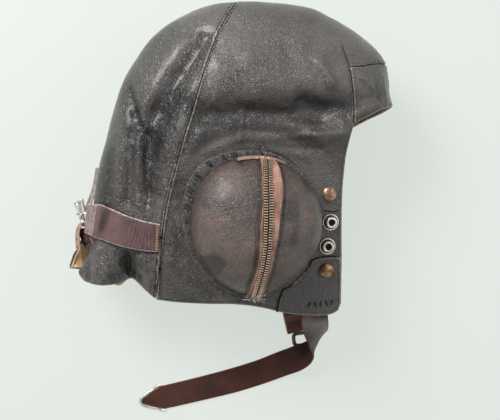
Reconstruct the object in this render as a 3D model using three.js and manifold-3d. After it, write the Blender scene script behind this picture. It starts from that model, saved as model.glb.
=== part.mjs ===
// Leather flying helmet, lying on its left side, in millimetres.
// Origin: on the surface it lies on, under the ear. +X forward, +Y to the crown, +Z to the wearer's right.
import * as THREE from 'three';
import { mergeVertices } from 'three/addons/utils/BufferGeometryUtils.js';
import Module from 'manifold-3d';

const wasm = await Module();
wasm.setup();

// Driving dimensions of the leather cap
const capLength = 270.5;         // from the nape to the tip of the brow
const crownHeight = 196.3;      // from the ear centre to the top of the crown
const ridgeHeight = 62;         // height of the middle line of the head above the surface
const rightRise = 66;           // how far the right side stands above the middle line
const leftSink = 92;            // how far the left side would sink below it if the surface were not there
const leather = 1.8;            // wall of the cap
const seamGap = 0.3;            // gap kept between touching pieces
const pillowPower = 2.4;        // 2 is an ellipse, more is a fuller side

// Driving dimensions of the ear domes
const domeWidth = 108.8;        // front to back, at its fullest
const domeTall = 118;
const domeBulge = 38;           // height of the right dome over its fullest line
const domeTuck = 14;            // depth of the same curve below that line
const rimTurn = 115;            // degrees from the top of the dome to its sewn rim
const domePower = 2.25;
const domeWall = 2;
const weltWidth = 5.4;          // mean width of the gathered ring beyond the dome
const weltShiftX = -3;          // the ring is wider behind and above than in front and below
const weltShiftY = 2.6;
const weltHeight = 2.2;
const earX = 0;
const earY = -1;
const rightEarHeight = ridgeHeight + 38;      // height of the right flap at the ear
const rightSlopeX = -0.2;       // the right flap droops to the front
const rightSlopeY = 0.14;       // and towards the hem
const leftEarHeight = 0.484 * ridgeHeight;    // the left flap stands on its pressed dome
const flatShare = 0.66;         // flattened share of the left dome's radius

// Driving dimensions of the flap
const studDiameter = 14.4;
const studMargin = 1;           // from the ring to the stud posts
const studEdge = 3.0;           // from the stud posts to the front edge
const hemMargin = 17;           // from the ring to the hem
const cornerRadius = 10;        // chin corner

// Droop of the right side, towards the neck, the face and the hem
const neckDroop = 14;
const faceDroop = 26;
const hemDroop = 10;
const farBrow = 7;              // how far the left half of the brow stands forward of the right one

const rimShare = Math.sin(THREE.MathUtils.degToRad(rimTurn)) ** (2 / domePower);
const rimDepth = domeTuck * Math.abs(Math.cos(THREE.MathUtils.degToRad(rimTurn))) ** (2 / domePower);
const rimHalfX = domeWidth / 2 * rimShare;
const rimHalfY = domeTall / 2 * rimShare;
const tuckShare = (1 - ((rimDepth - weltHeight) / domeTuck) ** domePower) ** (1 / domePower);
const weltInnerX = domeWidth / 2 * tuckShare;
const weltInnerY = domeTall / 2 * tuckShare;
const weltHalfX = weltInnerX + weltWidth;
const weltHalfY = weltInnerY + weltWidth;
const weltX = earX + weltShiftX;
const weltY = earY + weltShiftY;
const flapFront = weltX + weltHalfX + studMargin + studDiameter + studEdge;
const flapDrop = weltHalfY - weltY + hemMargin;
const browReach = capLength * 0.459;
const backReach = capLength * 0.541;

const colours = {
  leather: 0x4c4541,
  dome: 0x594c48,
  lining: 0xa8845c,
  strap: 0x4a2b2c,
  suede: 0x4b2f25,
  tape: 0x8a5b45,
  zip: 0x6b5138,
  copper: 0xa98f7e,
  steel: 0xa7a59b,
};

function material(name, colour, roughness, metalness) {
  const made = new THREE.MeshStandardMaterial({ color: colour, roughness, metalness });
  made.name = name;
  return made;
}

const materials = {
  leather: material('leather', colours.leather, 0.55, 0),
  dome: material('dome leather', colours.dome, 0.5, 0),
  lining: material('lining', colours.lining, 0.9, 0),
  strap: material('strap leather', colours.strap, 0.45, 0),
  suede: material('suede', colours.suede, 0.9, 0),
  tape: material('zip tape', colours.tape, 0.85, 0),
  zip: material('zip teeth', colours.zip, 0.4, 0.9),
  copper: material('copper cap', colours.copper, 0.4, 0.9),
  steel: material('steel', colours.steel, 0.35, 0.9),
};

const helmet = new THREE.Group();

function addPiece(name, geometry, look, parent = helmet) {
  const mesh = new THREE.Mesh(geometry, materials[look]);
  mesh.name = name;
  parent.add(mesh);
  return mesh;
}

// Solids: closed geometry to a manifold and back
function merged(geometry) {
  const bare = geometry.clone();
  bare.deleteAttribute('normal');
  bare.deleteAttribute('uv');
  return mergeVertices(bare, 1e-4);
}

function toSolid(geometry) {
  const bare = merged(geometry);
  const index = bare.index ? bare.index.array : [...Array(bare.attributes.position.count).keys()];
  const mesh = new wasm.Mesh({
    numProp: 3,
    vertProperties: new Float32Array(bare.attributes.position.array),
    triVerts: new Uint32Array(index),
  });
  return new wasm.Manifold(mesh);
}

function toGeometry(solid) {
  const mesh = solid.getMesh();
  const geometry = new THREE.BufferGeometry();
  geometry.setAttribute('position', new THREE.BufferAttribute(new Float32Array(mesh.vertProperties), 3));
  geometry.setIndex(new THREE.BufferAttribute(new Uint32Array(mesh.triVerts), 1));
  geometry.computeVertexNormals();
  return geometry;
}

function fromFaces(points, faces) {
  const geometry = new THREE.BufferGeometry();
  const flat = points.flatMap((p) => [p.x, p.y, p.z]);
  geometry.setAttribute('position', new THREE.BufferAttribute(new Float32Array(flat), 3));
  geometry.setIndex(faces.flat());
  geometry.computeVertexNormals();
  return geometry;
}

// Smooth step from 0 to 1, and the same for a softly limited floor
function ease(t) {
  const s = Math.min(Math.max(t, 0), 1);
  return s * s * (3 - 2 * s);
}

function softFloor(z, blend) {
  if (z >= blend) return z;
  if (z <= -blend) return 0;
  return (z + blend) ** 2 / (4 * blend);
}

// Outline of the head in the side view. Above the nape and the brow it is the ridge of the leather;
// below them it is where the head would go on, and the hem and the face edge cut the leather there.
// x is a share of the brow reach in front of the ear and of the back reach behind it, y of the crown height.
const outlineRows = [
  { x: 0.957, y: 0.56 },
  { x: 0.94, y: 0.645 },
  { x: 0.912, y: 0.728 },
  { x: 0.82, y: 0.804 },
  { x: 0.679, y: 0.872 },
  { x: 0.522, y: 0.931 },
  { x: 0.351, y: 0.978 },
  { x: 0.024, y: 1.0 },
  { x: -0.25, y: 0.99 },
  { x: -0.463, y: 0.931 },
  { x: -0.62, y: 0.845 },
  { x: -0.729, y: 0.737 },
  { x: -0.796, y: 0.656 },
  { x: -0.85, y: 0.547 },
  { x: -0.905, y: 0.385 },
  { x: -0.953, y: 0.25 },
  { x: -0.987, y: 0.092 },
  { x: -1.0, y: -0.06 },
  { x: -0.99, y: -0.24 },
  { x: -0.9, y: -0.5 },
  { x: -0.6, y: -0.76 },
  { x: 0.0, y: -0.88 },
  { x: 0.72, y: -0.76 },
  { x: 1.12, y: -0.46 },
  { x: 1.2, y: -0.08 },
  { x: 1.1, y: 0.3 },
];
const crownCentre = new THREE.Vector2(-0.08 * backReach, 0.46 * crownHeight);

function sideX(share) {
  return share * (share > 0 ? browReach : backReach);
}

const outlineCurve = new THREE.CatmullRomCurve3(
  outlineRows.map((row) => new THREE.Vector3(sideX(row.x), row.y * crownHeight, 0)),
  true,
  'catmullrom',
  0.5,
);
const outlineSamples = outlineRows.length * 12;

// Distance from a centre to the outline in any direction, looked up between close samples
function outlineReach(from) {
  const samples = [];
  for (let i = 0; i < outlineSamples; i += 1) {
    const p = outlineCurve.getPoint(i / outlineSamples);
    const angle = Math.atan2(p.y - from.y, p.x - from.x);
    samples.push({ angle, reach: Math.hypot(p.x - from.x, p.y - from.y) });
  }
  samples.sort((a, b) => a.angle - b.angle);
  const first = samples[0];
  const last = samples[samples.length - 1];
  samples.unshift({ angle: last.angle - 2 * Math.PI, reach: last.reach });
  samples.push({ angle: first.angle + 2 * Math.PI, reach: first.reach });
  return (angle) => {
    const high = samples.findIndex((row) => row.angle >= angle);
    const low = samples[Math.max(high - 1, 0)];
    const t = (angle - low.angle) / (samples[Math.max(high, 1)].angle - low.angle);
    return low.reach + (samples[Math.max(high, 1)].reach - low.reach) * t;
  };
}
const crownReach = outlineReach(crownCentre);
const earReach = outlineReach(new THREE.Vector2(earX, earY));

// Folds of the right side as seen in the side view: a ridge or a valley along a line from a to b.
// Places are shares like the outline's, width is a share of the crown height, lift of the right rise.
const foldRows = [
  { name: 'valley behind the side seam, upper', ax: -0.3, ay: 0.79, bx: -0.56, by: 0.5, width: 0.05, lift: -0.11 },
  { name: 'valley behind the side seam, lower', ax: -0.58, ay: 0.47, bx: -0.62, by: 0.16, width: 0.045, lift: -0.08 },
  { name: 'crease at the back', ax: -0.76, ay: 0.63, bx: -0.67, by: 0.38, width: 0.03, lift: -0.06 },
  { name: 'roll behind that crease', ax: -0.8, ay: 0.48, bx: -0.78, by: 0.1, width: 0.05, lift: 0.05 },
  { name: 'valley at the back', ax: -0.73, ay: 0.38, bx: -0.74, by: 0.1, width: 0.035, lift: -0.06 },
  { name: 'dent above the ear', ax: -0.3, ay: 0.47, bx: 0.42, by: 0.47, width: 0.07, lift: -0.13 },
  { name: 'dent towards the brow', ax: 0.3, ay: 0.52, bx: 0.62, by: 0.5, width: 0.05, lift: -0.08 },
  { name: 'roll over the dome, behind', ax: -0.4, ay: 0.26, bx: -0.18, by: 0.345, width: 0.04, lift: 0.07 },
  { name: 'roll over the dome, front', ax: 0.03, ay: 0.385, bx: 0.58, by: 0.39, width: 0.045, lift: 0.08 },
  { name: 'small fold at the temple', ax: 0.43, ay: 0.7, bx: 0.5, by: 0.6, width: 0.025, lift: 0.04 },
];

function folds(x, y) {
  let sum = 0;
  for (const row of foldRows) {
    const ax = sideX(row.ax);
    const bx = sideX(row.bx);
    const ay = row.ay * crownHeight;
    const by = row.by * crownHeight;
    const dx = bx - ax;
    const dy = by - ay;
    const along = ((x - ax) * dx + (y - ay) * dy) / (dx * dx + dy * dy);
    const t = Math.min(Math.max(along, 0), 1);
    const away = Math.hypot(x - ax - t * dx, y - ay - t * dy) / (row.width * crownHeight);
    sum += row.lift * rightRise * Math.exp(-away * away);
  }
  return sum;
}

// How flat the flap is under the ear dome: 1 under it, 0 well away from it
function earFlat(x, y, spread) {
  const away = Math.hypot((x - weltX) / weltHalfX, (y - weltY) / weltHalfY);
  return ease((spread - away) / 0.28);
}

function rightEarPlane(x, y) {
  return rightEarHeight + rightSlopeX * (x - earX) + rightSlopeY * (y - earY);
}

// Roundness at a place of the side view: 1 at the middle of the side, 0 on the outline
function roundness(x, y) {
  const away = Math.hypot(x - crownCentre.x, y - crownCentre.y);
  if (away < 1e-6) return 1;
  const share = Math.min(away / crownReach(Math.atan2(y - crownCentre.y, x - crownCentre.x)), 1);
  return (1 - share ** pillowPower) ** (1 / pillowPower);
}

function rightSkin(x, y) {
  const round = roundness(x, y);
  const toNeck = neckDroop * ease((0.56 * crownHeight - y) / (0.56 * crownHeight));
  const forward = ease((x + 0.41 * backReach) / (0.51 * capLength));
  const toFace = faceDroop * forward * ease((0.71 * crownHeight - y) / (0.56 * crownHeight));
  const toHem = hemDroop * ease((-0.26 * flapDrop - y) / (0.64 * flapDrop));
  const free = ridgeHeight + round * (rightRise - toNeck - toFace - toHem + folds(x, y));
  const flat = earFlat(x, y, 1.52);
  return free + (rightEarPlane(x, y) - free) * flat;
}

function leftSkin(x, y) {
  const round = roundness(x, y);
  const pressed = softFloor(ridgeHeight - leftSink * round, 6);
  const lift = leftEarHeight * round * ease((0.66 * crownHeight - y) / (0.4 * crownHeight));
  const free = pressed + lift;
  const flat = earFlat(x, y, 1.75);
  return free + (leftEarHeight - free) * flat;
}

// The whole head as a closed pillow: rings from the right ear over the ridge
// to the left ear, moved outwards by a distance.
const turns = 54;
const halfRings = 12;

function pillowPoint(turn, ring) {
  const angle = -Math.PI + (2 * Math.PI * turn) / turns;
  const lean = (Math.PI * ring) / (2 * halfRings);
  const share = Math.sin(lean) ** (2 / pillowPower);
  const out = earReach(angle) * share;
  const x = earX + out * Math.cos(angle);
  const y = earY + out * Math.sin(angle);
  if (ring === halfRings) return new THREE.Vector3(x, y, ridgeHeight);
  if (ring < halfRings) return new THREE.Vector3(x, y, rightSkin(x, y));
  const forward = farBrow * ease((x - 0.68 * browReach) / (0.28 * browReach));
  const shift = forward * ease((lean - Math.PI / 2) / (Math.PI / 5));
  return new THREE.Vector3(x + shift, y, leftSkin(x, y));
}

function pillow(offset) {
  const points = [pillowPoint(0, 0)];
  const faces = [];
  const at = (ring, turn) => 1 + (ring - 1) * turns + (turn % turns);
  const rings = 2 * halfRings;
  for (let ring = 1; ring < rings; ring += 1) {
    for (let turn = 0; turn < turns; turn += 1) points.push(pillowPoint(turn, ring));
  }
  const last = points.length;
  points.push(pillowPoint(0, rings));
  for (let turn = 0; turn < turns; turn += 1) {
    faces.push([0, at(1, turn), at(1, turn + 1)]);
    faces.push([last, at(rings - 1, turn + 1), at(rings - 1, turn)]);
    for (let ring = 1; ring < rings - 1; ring += 1) {
      const a = at(ring, turn);
      const b = at(ring + 1, turn);
      const c = at(ring + 1, turn + 1);
      const d = at(ring, turn + 1);
      faces.push([a, b, c], [a, c, d]);
    }
  }
  const geometry = fromFaces(points, faces);
  const normal = geometry.attributes.normal;
  const moved = points.map((p, i) => new THREE.Vector3(
    p.x + offset * normal.getX(i),
    p.y + offset * normal.getY(i),
    p.z + offset * normal.getZ(i),
  ));
  return toSolid(fromFaces(moved, faces));
}

const skin = pillow(0);
const shell = skin.subtract(pillow(-leather));

// Lines of the side view
function spline(points, steps) {
  return new THREE.SplineCurve(points).getPoints(steps);
}

function sidePoints(rows) {
  return rows.map((row) => new THREE.Vector2(sideX(row.x), row.y * crownHeight));
}

function shifted(points, distance) {
  return points.map((p, i) => {
    const before = points[Math.max(i - 1, 0)];
    const after = points[Math.min(i + 1, points.length - 1)];
    const along = after.clone().sub(before).normalize();
    return new THREE.Vector2(p.x - along.y * distance, p.y + along.x * distance);
  });
}

// Side seam from above the crown down to the hem: shares like the outline's
const sideSeamRows = [
  { x: -0.03, y: 1.12 },
  { x: -0.113, y: 0.998 },
  { x: -0.24, y: 0.79 },
  { x: -0.302, y: 0.643 },
  { x: -0.358, y: 0.506 },
  { x: -0.417, y: 0.363 },
  { x: -0.471, y: 0.217 },
  { x: -0.513, y: 0.09 },
  { x: -0.54, y: -0.038 },
];
const seamFoot = new THREE.Vector2(sideX(-0.589), -0.81 * flapDrop);
const sideSeam = spline([...sidePoints(sideSeamRows), seamFoot], 22);
const strapLevel = sidePoints([{ x: -0.549, y: -0.048 }, { x: -0.99, y: 0.02 }]);

// Brow seam: up along the temple, then across the brow
const templeSeam = spline(sidePoints([
  { x: 0.659, y: 0.441 },
  { x: 0.656, y: 0.522 },
  { x: 0.641, y: 0.607 },
  { x: 0.624, y: 0.672 },
]), 5);
const browSeam = spline(sidePoints([
  { x: 0.634, y: 0.68 },
  { x: 0.724, y: 0.687 },
  { x: 0.834, y: 0.706 },
  { x: 1.1, y: 0.74 },
]), 5);
const browHem = spline(sidePoints([
  { x: 0.659, y: 0.441 },
  { x: 0.753, y: 0.469 },
  { x: 0.858, y: 0.504 },
  { x: 1.0, y: 0.541 },
  { x: 1.2, y: 0.6 },
]), 6);

// Face edge and hem of the flap, in shares of the flap's front and drop
const faceEdge = spline([
  new THREE.Vector2(templeSeam[0].x + 0.001 * flapFront, browHem[0].y - 0.01 * crownHeight),
  new THREE.Vector2(flapFront * 1.066, 0.36 * crownHeight),
  new THREE.Vector2(flapFront * 1.03, 0.285 * crownHeight),
  new THREE.Vector2(flapFront * 1.005, 0.14 * crownHeight),
  new THREE.Vector2(flapFront, 0),
  new THREE.Vector2(flapFront * 1.003, -0.5 * flapDrop),
  new THREE.Vector2(flapFront * 1.005, -flapDrop + cornerRadius),
], 12);
const hem = spline([
  new THREE.Vector2(flapFront * 1.005 - 0.25 * cornerRadius, -flapDrop + 0.35 * cornerRadius),
  new THREE.Vector2(flapFront * 1.005 - cornerRadius, -flapDrop * 1.0),
  new THREE.Vector2(flapFront * 0.66, -flapDrop * 1.01),
  new THREE.Vector2(flapFront * 0.34, -flapDrop * 0.975),
  new THREE.Vector2(flapFront * 0.06, -flapDrop * 0.905),
  new THREE.Vector2(sideX(-0.13), -flapDrop * 0.86),
  new THREE.Vector2(sideX(-0.3), -flapDrop * 0.85),
  new THREE.Vector2(sideX(-0.45), -flapDrop * 0.84),
  seamFoot,
], 14);

const below = -0.5 * ridgeHeight;
const above = ridgeHeight + 3 * rightRise;

function prism(points, from = below, to = above) {
  const shape = new THREE.Shape(points);
  const geometry = new THREE.ExtrudeGeometry(shape, { depth: to - from, bevelEnabled: false, steps: 1 });
  geometry.translate(0, 0, from);
  return toSolid(geometry);
}

function ellipsePoints(halfX, halfY, steps = 40, x = earX, y = earY) {
  const points = [];
  for (let i = 0; i < steps; i += 1) {
    const angle = (2 * Math.PI * i) / steps;
    points.push(new THREE.Vector2(x + halfX * Math.cos(angle), y + halfY * Math.sin(angle)));
  }
  return points;
}

const half = seamGap / 2;
const outside = 1.35 * crownHeight;
const holeShare = 0.88;         // the leather's hole under each dome, as a share of the dome's rim
const holeX = rimHalfX * holeShare;
const holeY = rimHalfY * holeShare;
const earHole = prism(ellipsePoints(holeX, holeY));

const frontOutline = [
  ...shifted(sideSeam, half),
  ...hem.slice().reverse().slice(1),
  ...faceEdge.slice().reverse(),
  ...shifted(templeSeam, half),
  ...shifted(browSeam, half),
  new THREE.Vector2(outside, browSeam[browSeam.length - 1].y),
  new THREE.Vector2(outside, outside),
];
addPiece('crown_panel', toGeometry(shell.intersect(prism(frontOutline)).subtract(earHole)), 'leather');

const rearOutline = [
  ...shifted(sideSeam.filter((p) => p.y > strapLevel[0].y), -half),
  ...strapLevel,
  new THREE.Vector2(-outside, strapLevel[1].y),
  new THREE.Vector2(-outside, outside),
];
addPiece('rear_panel', toGeometry(shell.intersect(prism(rearOutline))), 'leather');

const browOutline = [
  ...shifted(templeSeam, -half),
  ...shifted(browSeam, -half),
  ...browHem.slice(1).reverse(),
];
addPiece('brow_band', toGeometry(shell.intersect(prism(browOutline))), 'leather');

// Cheek patch: a second leather on the chin corner, cut from a pillow that lies on the first one
const patchLeather = 1.4;
const patchEdge = spline([
  new THREE.Vector2(flapFront * 1.1, -0.36 * flapDrop),
  new THREE.Vector2(flapFront * 0.86, -0.345 * flapDrop),
  new THREE.Vector2(flapFront * 0.68, -0.37 * flapDrop),
  new THREE.Vector2(flapFront * 0.5, -0.47 * flapDrop),
  new THREE.Vector2(flapFront * 0.365, -0.62 * flapDrop),
  new THREE.Vector2(flapFront * 0.27, -0.8 * flapDrop),
  new THREE.Vector2(flapFront * 0.215, -1.1 * flapDrop),
], 12);
const cornerInset = 0.6;
const cheekCorner = [
  ...patchEdge,
  new THREE.Vector2(1.1 * flapFront, -1.1 * flapDrop),
];
const flapOutline = [
  ...shifted(hem.slice().reverse(), cornerInset),
  ...shifted(faceEdge.slice().reverse(), cornerInset),
  new THREE.Vector2(sideX(-0.58), faceEdge[0].y),
];
const weltSeat = prism(ellipsePoints(weltHalfX + 2 * seamGap, weltHalfY + 2 * seamGap, 40, weltX, weltY));
const patchShell = pillow(seamGap + patchLeather).subtract(pillow(seamGap));
const patchBoth = patchShell.intersect(prism(cheekCorner)).intersect(prism(flapOutline)).subtract(weltSeat);
const rightHalf = prism(boxPoints(outside), ridgeHeight, above);
const leftHalf = prism(boxPoints(outside), below, ridgeHeight);
addPiece('cheek_patch_right', toGeometry(patchBoth.intersect(rightHalf)), 'leather');
addPiece('cheek_patch_left', toGeometry(patchBoth.intersect(leftHalf)), 'leather');

function boxPoints(size) {
  const corners = [[-1, -1], [1, -1], [1, 1], [-1, 1]];
  return corners.map(([x, y]) => new THREE.Vector2(x * size, y * size));
}

// Ear groups: local z points away from the head
const earSeat = 0.2;
const rightEar = new THREE.Group();
rightEar.position.set(earX, earY, rightEarHeight + earSeat);
const rightOut = new THREE.Vector3(-rightSlopeX, -rightSlopeY, 1).normalize();
rightEar.quaternion.setFromUnitVectors(new THREE.Vector3(0, 0, 1), rightOut);
helmet.add(rightEar);
const leftEar = new THREE.Group();
leftEar.position.set(earX, earY, leftEarHeight);
leftEar.rotation.x = Math.PI;
helmet.add(leftEar);

function lathe(profile, segments, squash = 1) {
  const geometry = new THREE.LatheGeometry(profile, segments);
  geometry.rotateX(Math.PI / 2);
  geometry.scale(1, squash, 1);
  const index = geometry.index.array;
  if (toVolume(geometry) > 0) return geometry;
  for (let i = 0; i < index.length; i += 3) [index[i + 1], index[i + 2]] = [index[i + 2], index[i + 1]];
  return geometry;
}

function toVolume(geometry) {
  const place = geometry.attributes.position;
  const index = geometry.index.array;
  const corner = (i) => new THREE.Vector3().fromBufferAttribute(place, i);
  let sum = 0;
  for (let i = 0; i < index.length; i += 3) {
    sum += corner(index[i]).dot(corner(index[i + 1]).cross(corner(index[i + 2]))) / 6;
  }
  return sum;
}

// Dome section from the top to the rim, moved in by a wall
function domeSection(wall, steps) {
  const points = [];
  for (let i = 0; i <= steps; i += 1) {
    const turn = THREE.MathUtils.degToRad((rimTurn * i) / steps);
    const out = Math.sin(turn) ** (2 / domePower);
    const up = Math.abs(Math.cos(turn)) ** (2 / domePower);
    const height = Math.cos(turn) > 0 ? (domeBulge - wall) * up : -domeTuck * up;
    points.push(new THREE.Vector2((domeWidth / 2 - wall) * out, seamGap + rimDepth + height));
  }
  return points;
}

const domeSteps = 8;
const domeSegments = 26;
const squash = domeTall / domeWidth;
const domeProfile = [...domeSection(0, domeSteps), ...domeSection(domeWall, domeSteps).reverse()];
addPiece('ear_dome_right', lathe(domeProfile, domeSegments, squash), 'dome', rightEar);

// The left dome carries the helmet, so it is pressed flat on the surface
const pressed = leftEarHeight - seamGap;
const pressedHalf = domeWidth / 2;
function pressedSection(wall) {
  const flat = flatShare * pressedHalf;
  const middle = seamGap + pressed / 2;
  const rise = pressed / 2 - wall;
  const points = [new THREE.Vector2(0, middle + rise), new THREE.Vector2(flat, middle + rise)];
  const steps = 5;
  for (let i = 1; i <= steps; i += 1) {
    const turn = (Math.PI * i) / (steps + 1);
    const out = flat + (pressedHalf - wall - flat) * Math.sin(turn) ** 0.8;
    points.push(new THREE.Vector2(out, middle + rise * Math.cos(turn)));
  }
  points.push(new THREE.Vector2(rimHalfX - wall, seamGap));
  return points;
}
const pressedProfile = [...pressedSection(0), ...pressedSection(domeWall).reverse()];
addPiece('ear_dome_left', lathe(pressedProfile, domeSegments, squash), 'dome', leftEar);

// Gathered ring round each dome: wider behind and above the ear. Its section runs
// from the inner foot over a rounded top to the outer foot.
const weltSides = 32;
const weltSection = [
  { out: 0, up: 0 },
  { out: 0, up: 0.75 },
  { out: 0.25, up: 1 },
  { out: 0.7, up: 1 },
  { out: 1, up: 0.6 },
  { out: 1, up: 0 },
];

function weltGeometry(shiftY) {
  const inner = ellipsePoints(weltInnerX + seamGap, weltInnerY + seamGap, weltSides, 0, 0);
  const outer = ellipsePoints(weltHalfX, weltHalfY, weltSides, weltShiftX, shiftY);
  const points = [];
  const faces = [];
  const count = weltSection.length;
  for (let i = 0; i < weltSides; i += 1) {
    for (const { out, up } of weltSection) {
      const p = inner[i].clone().lerp(outer[i], out);
      points.push(new THREE.Vector3(p.x, p.y, seamGap + weltHeight * up));
    }
    for (let j = 0; j < count; j += 1) {
      const a = i * count + j;
      const b = i * count + ((j + 1) % count);
      const c = ((i + 1) % weltSides) * count + ((j + 1) % count);
      const d = ((i + 1) % weltSides) * count + j;
      faces.push([a, b, c], [a, c, d]);
    }
  }
  const geometry = fromFaces(points, faces);
  return toVolume(geometry) > 0 ? geometry : flipped(geometry);
}
addPiece('ear_welt_right', weltGeometry(weltShiftY), 'dome', rightEar);
addPiece('ear_welt_left', weltGeometry(-weltShiftY), 'dome', leftEar);

function flipped(geometry) {
  const made = merged(geometry);
  const index = made.index.array;
  for (let i = 0; i < index.length; i += 3) [index[i + 1], index[i + 2]] = [index[i + 2], index[i + 1]];
  return made;
}

// A thin solid over a grid of places with outward normals
function sheet(rows, from, to) {
  const points = [];
  const faces = [];
  const across = rows[0].length;
  const at = (layer, i, j) => layer * rows.length * across + i * across + j;
  for (const lift of [to, from]) {
    for (const row of rows) {
      for (const spot of row) points.push(spot.place.clone().addScaledVector(spot.normal, lift));
    }
  }
  const quad = (a, b, c, d) => faces.push([a, b, c], [a, c, d]);
  for (let i = 0; i + 1 < rows.length; i += 1) {
    for (let j = 0; j + 1 < across; j += 1) {
      quad(at(0, i, j), at(0, i + 1, j), at(0, i + 1, j + 1), at(0, i, j + 1));
      quad(at(1, i, j), at(1, i, j + 1), at(1, i + 1, j + 1), at(1, i + 1, j));
    }
    quad(at(0, i, 0), at(1, i, 0), at(1, i + 1, 0), at(0, i + 1, 0));
    quad(at(0, i + 1, across - 1), at(1, i + 1, across - 1), at(1, i, across - 1), at(0, i, across - 1));
  }
  const last = rows.length - 1;
  for (let j = 0; j + 1 < across; j += 1) {
    quad(at(0, 0, j + 1), at(1, 0, j + 1), at(1, 0, j), at(0, 0, j));
    quad(at(0, last, j), at(1, last, j), at(1, last, j + 1), at(0, last, j + 1));
  }
  const geometry = fromFaces(points, faces);
  return toVolume(geometry) > 0 ? geometry : flipped(geometry);
}

// Place and normal on the dome: side is a share of its half width, turn is degrees from the top
function domeSpot(side, turn) {
  const angle = THREE.MathUtils.degToRad(turn);
  const out = Math.abs(Math.sin(angle)) ** (2 / domePower) * Math.sign(angle);
  const under = Math.abs(turn) > 90;
  const width = under ? side * Math.abs(out) : side;
  const along = Math.sqrt(1 - side * side) * out;
  const share = Math.hypot(width, along);
  const up = Math.abs(Math.cos(angle)) ** (2 / domePower);
  const height = under ? -domeTuck * up : domeBulge * Math.max(1 - share ** domePower, 0) ** (1 / domePower);
  const place = new THREE.Vector3(
    (width * domeWidth) / 2,
    (along * domeTall) / 2,
    height + rimDepth + seamGap,
  );
  const deep = under ? domeTuck : domeBulge;
  const normal = new THREE.Vector3(
    (width * share ** (domePower - 2)) / domeWidth * 2,
    (along * share ** (domePower - 2)) / domeTall * 2,
    Math.sign(height) * (Math.abs(height) / deep) ** (domePower - 1) / deep,
  );
  return { place, normal: normal.normalize() };
}

// Zip over the right dome, from its top to its foot; left and right are shares of the half width
const zipRows = [
  { turn: 97, left: -0.02, teeth: 0.09, right: 0.2 },
  { turn: 80, left: -0.03, teeth: 0.08, right: 0.21 },
  { turn: 56, left: -0.06, teeth: 0.04, right: 0.23 },
  { turn: 35, left: -0.08, teeth: 0.01, right: 0.23 },
  { turn: 16, left: -0.1, teeth: 0.0, right: 0.19 },
  { turn: -1, left: -0.13, teeth: -0.01, right: 0.15 },
  { turn: -21, left: -0.15, teeth: -0.035, right: 0.1 },
  { turn: -50, left: -0.22, teeth: -0.09, right: 0.03 },
  { turn: -78, left: -0.2, teeth: -0.08, right: 0.04 },
];
const tapeThick = 0.7;
const teethWidth = 5.2;
const teethThick = 1.1;
const tapeGap = 0.5;
const zipSteps = 22;

// Rows of the zip table, drawn finer along the zip
function zipRow(t) {
  const place = t * (zipRows.length - 1);
  const i = Math.min(Math.floor(place), zipRows.length - 2);
  const mix = (key) => zipRows[i][key] + (zipRows[i + 1][key] - zipRows[i][key]) * (place - i);
  return { turn: mix('turn'), left: mix('left'), teeth: mix('teeth'), right: mix('right') };
}
const fineZip = [...Array(zipSteps + 1).keys()].map((i) => zipRow(i / zipSteps));
const tapeGrid = fineZip.map((row) => [0, 0.5, 1].map((t) => {
  return domeSpot(row.left + (row.right - row.left) * t, row.turn);
}));
addPiece('zip_tape', sheet(tapeGrid, tapeGap, tapeGap + tapeThick), 'tape', rightEar);
const teethShare = teethWidth / domeWidth;
const teethGrid = fineZip.slice(3).map((row) => {
  return [-1, 1].map((t) => domeSpot(row.teeth + t * teethShare, row.turn));
});
const teethLift = tapeGap + tapeThick + seamGap;
addPiece('zip_teeth', sheet(teethGrid, teethLift, teethLift + teethThick), 'zip', rightEar);

// Studs on the front edge of each flap: their places count down from the crown, in shares of the flap drop
const capDiameter = 12.8;
const capHeight = 3.2;
const postHeight = 4.6;
const postHole = 2.4;
const seatGap = 0.62;
const studSides = 12;
const studRows = [
  { name: 'cap_upper', y: 0.35, inset: 0.86, post: false, onPatch: false },
  { name: 'post_upper', y: 0.042, inset: 0.72, post: true, onPatch: false },
  { name: 'post_lower', y: -0.225, inset: 0.98, post: true, onPatch: false },
  { name: 'cap_lower', y: -0.49, inset: 1.04, post: false, onPatch: true },
];

function capGeometry() {
  const r = capDiameter / 2;
  const profile = [[0, capHeight], [0.45 * r, 0.88 * capHeight], [0.85 * r, 0.5 * capHeight], [r, 0.12 * capHeight],
    [r, 0], [0, 0]];
  return lathe(profile.map(([x, y]) => new THREE.Vector2(x, y)), studSides);
}

function postGeometry() {
  const r = studDiameter / 2;
  const ring = 0.7 * r;
  const floor = 0.28 * postHeight;
  const profile = [[0, floor], [postHole, floor], [postHole, postHeight], [ring * 0.8, postHeight],
    [ring, 0.8 * postHeight], [ring, 0.42 * postHeight], [0.9 * r, 0.4 * postHeight], [r, 0.2 * postHeight],
    [r, 0], [0, 0]];
  return lathe(profile.map(([x, y]) => new THREE.Vector2(x, y)), studSides);
}

// Places a piece on the right or the left side of the leather, local z away from it
function onSkin(mesh, x, y, lift, right = true) {
  const step = 0.05 * domeWidth;
  const skinAt = right ? rightSkin : leftSkin;
  const slopeX = (skinAt(x + step, y) - skinAt(x - step, y)) / (2 * step);
  const slopeY = (skinAt(x, y + step) - skinAt(x, y - step)) / (2 * step);
  const out = new THREE.Vector3(-slopeX, -slopeY, 1).normalize();
  if (!right) out.negate();
  mesh.quaternion.setFromUnitVectors(new THREE.Vector3(0, 0, 1), out);
  mesh.position.set(x, y, skinAt(x, y)).addScaledVector(out, lift);
}

for (const row of studRows) {
  for (const right of [true, false]) {
    const geometry = row.post ? postGeometry() : capGeometry();
    const look = row.post ? 'steel' : 'copper';
    const mesh = addPiece(`${row.name}_${right ? 'right' : 'left'}`, geometry, look);
    const x = flapFront - studEdge - row.inset * studDiameter * 0.7;
    onSkin(mesh, x, row.y * flapDrop, seatGap + (row.onPatch ? patchLeather + seamGap : 0), right);
  }
}

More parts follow.
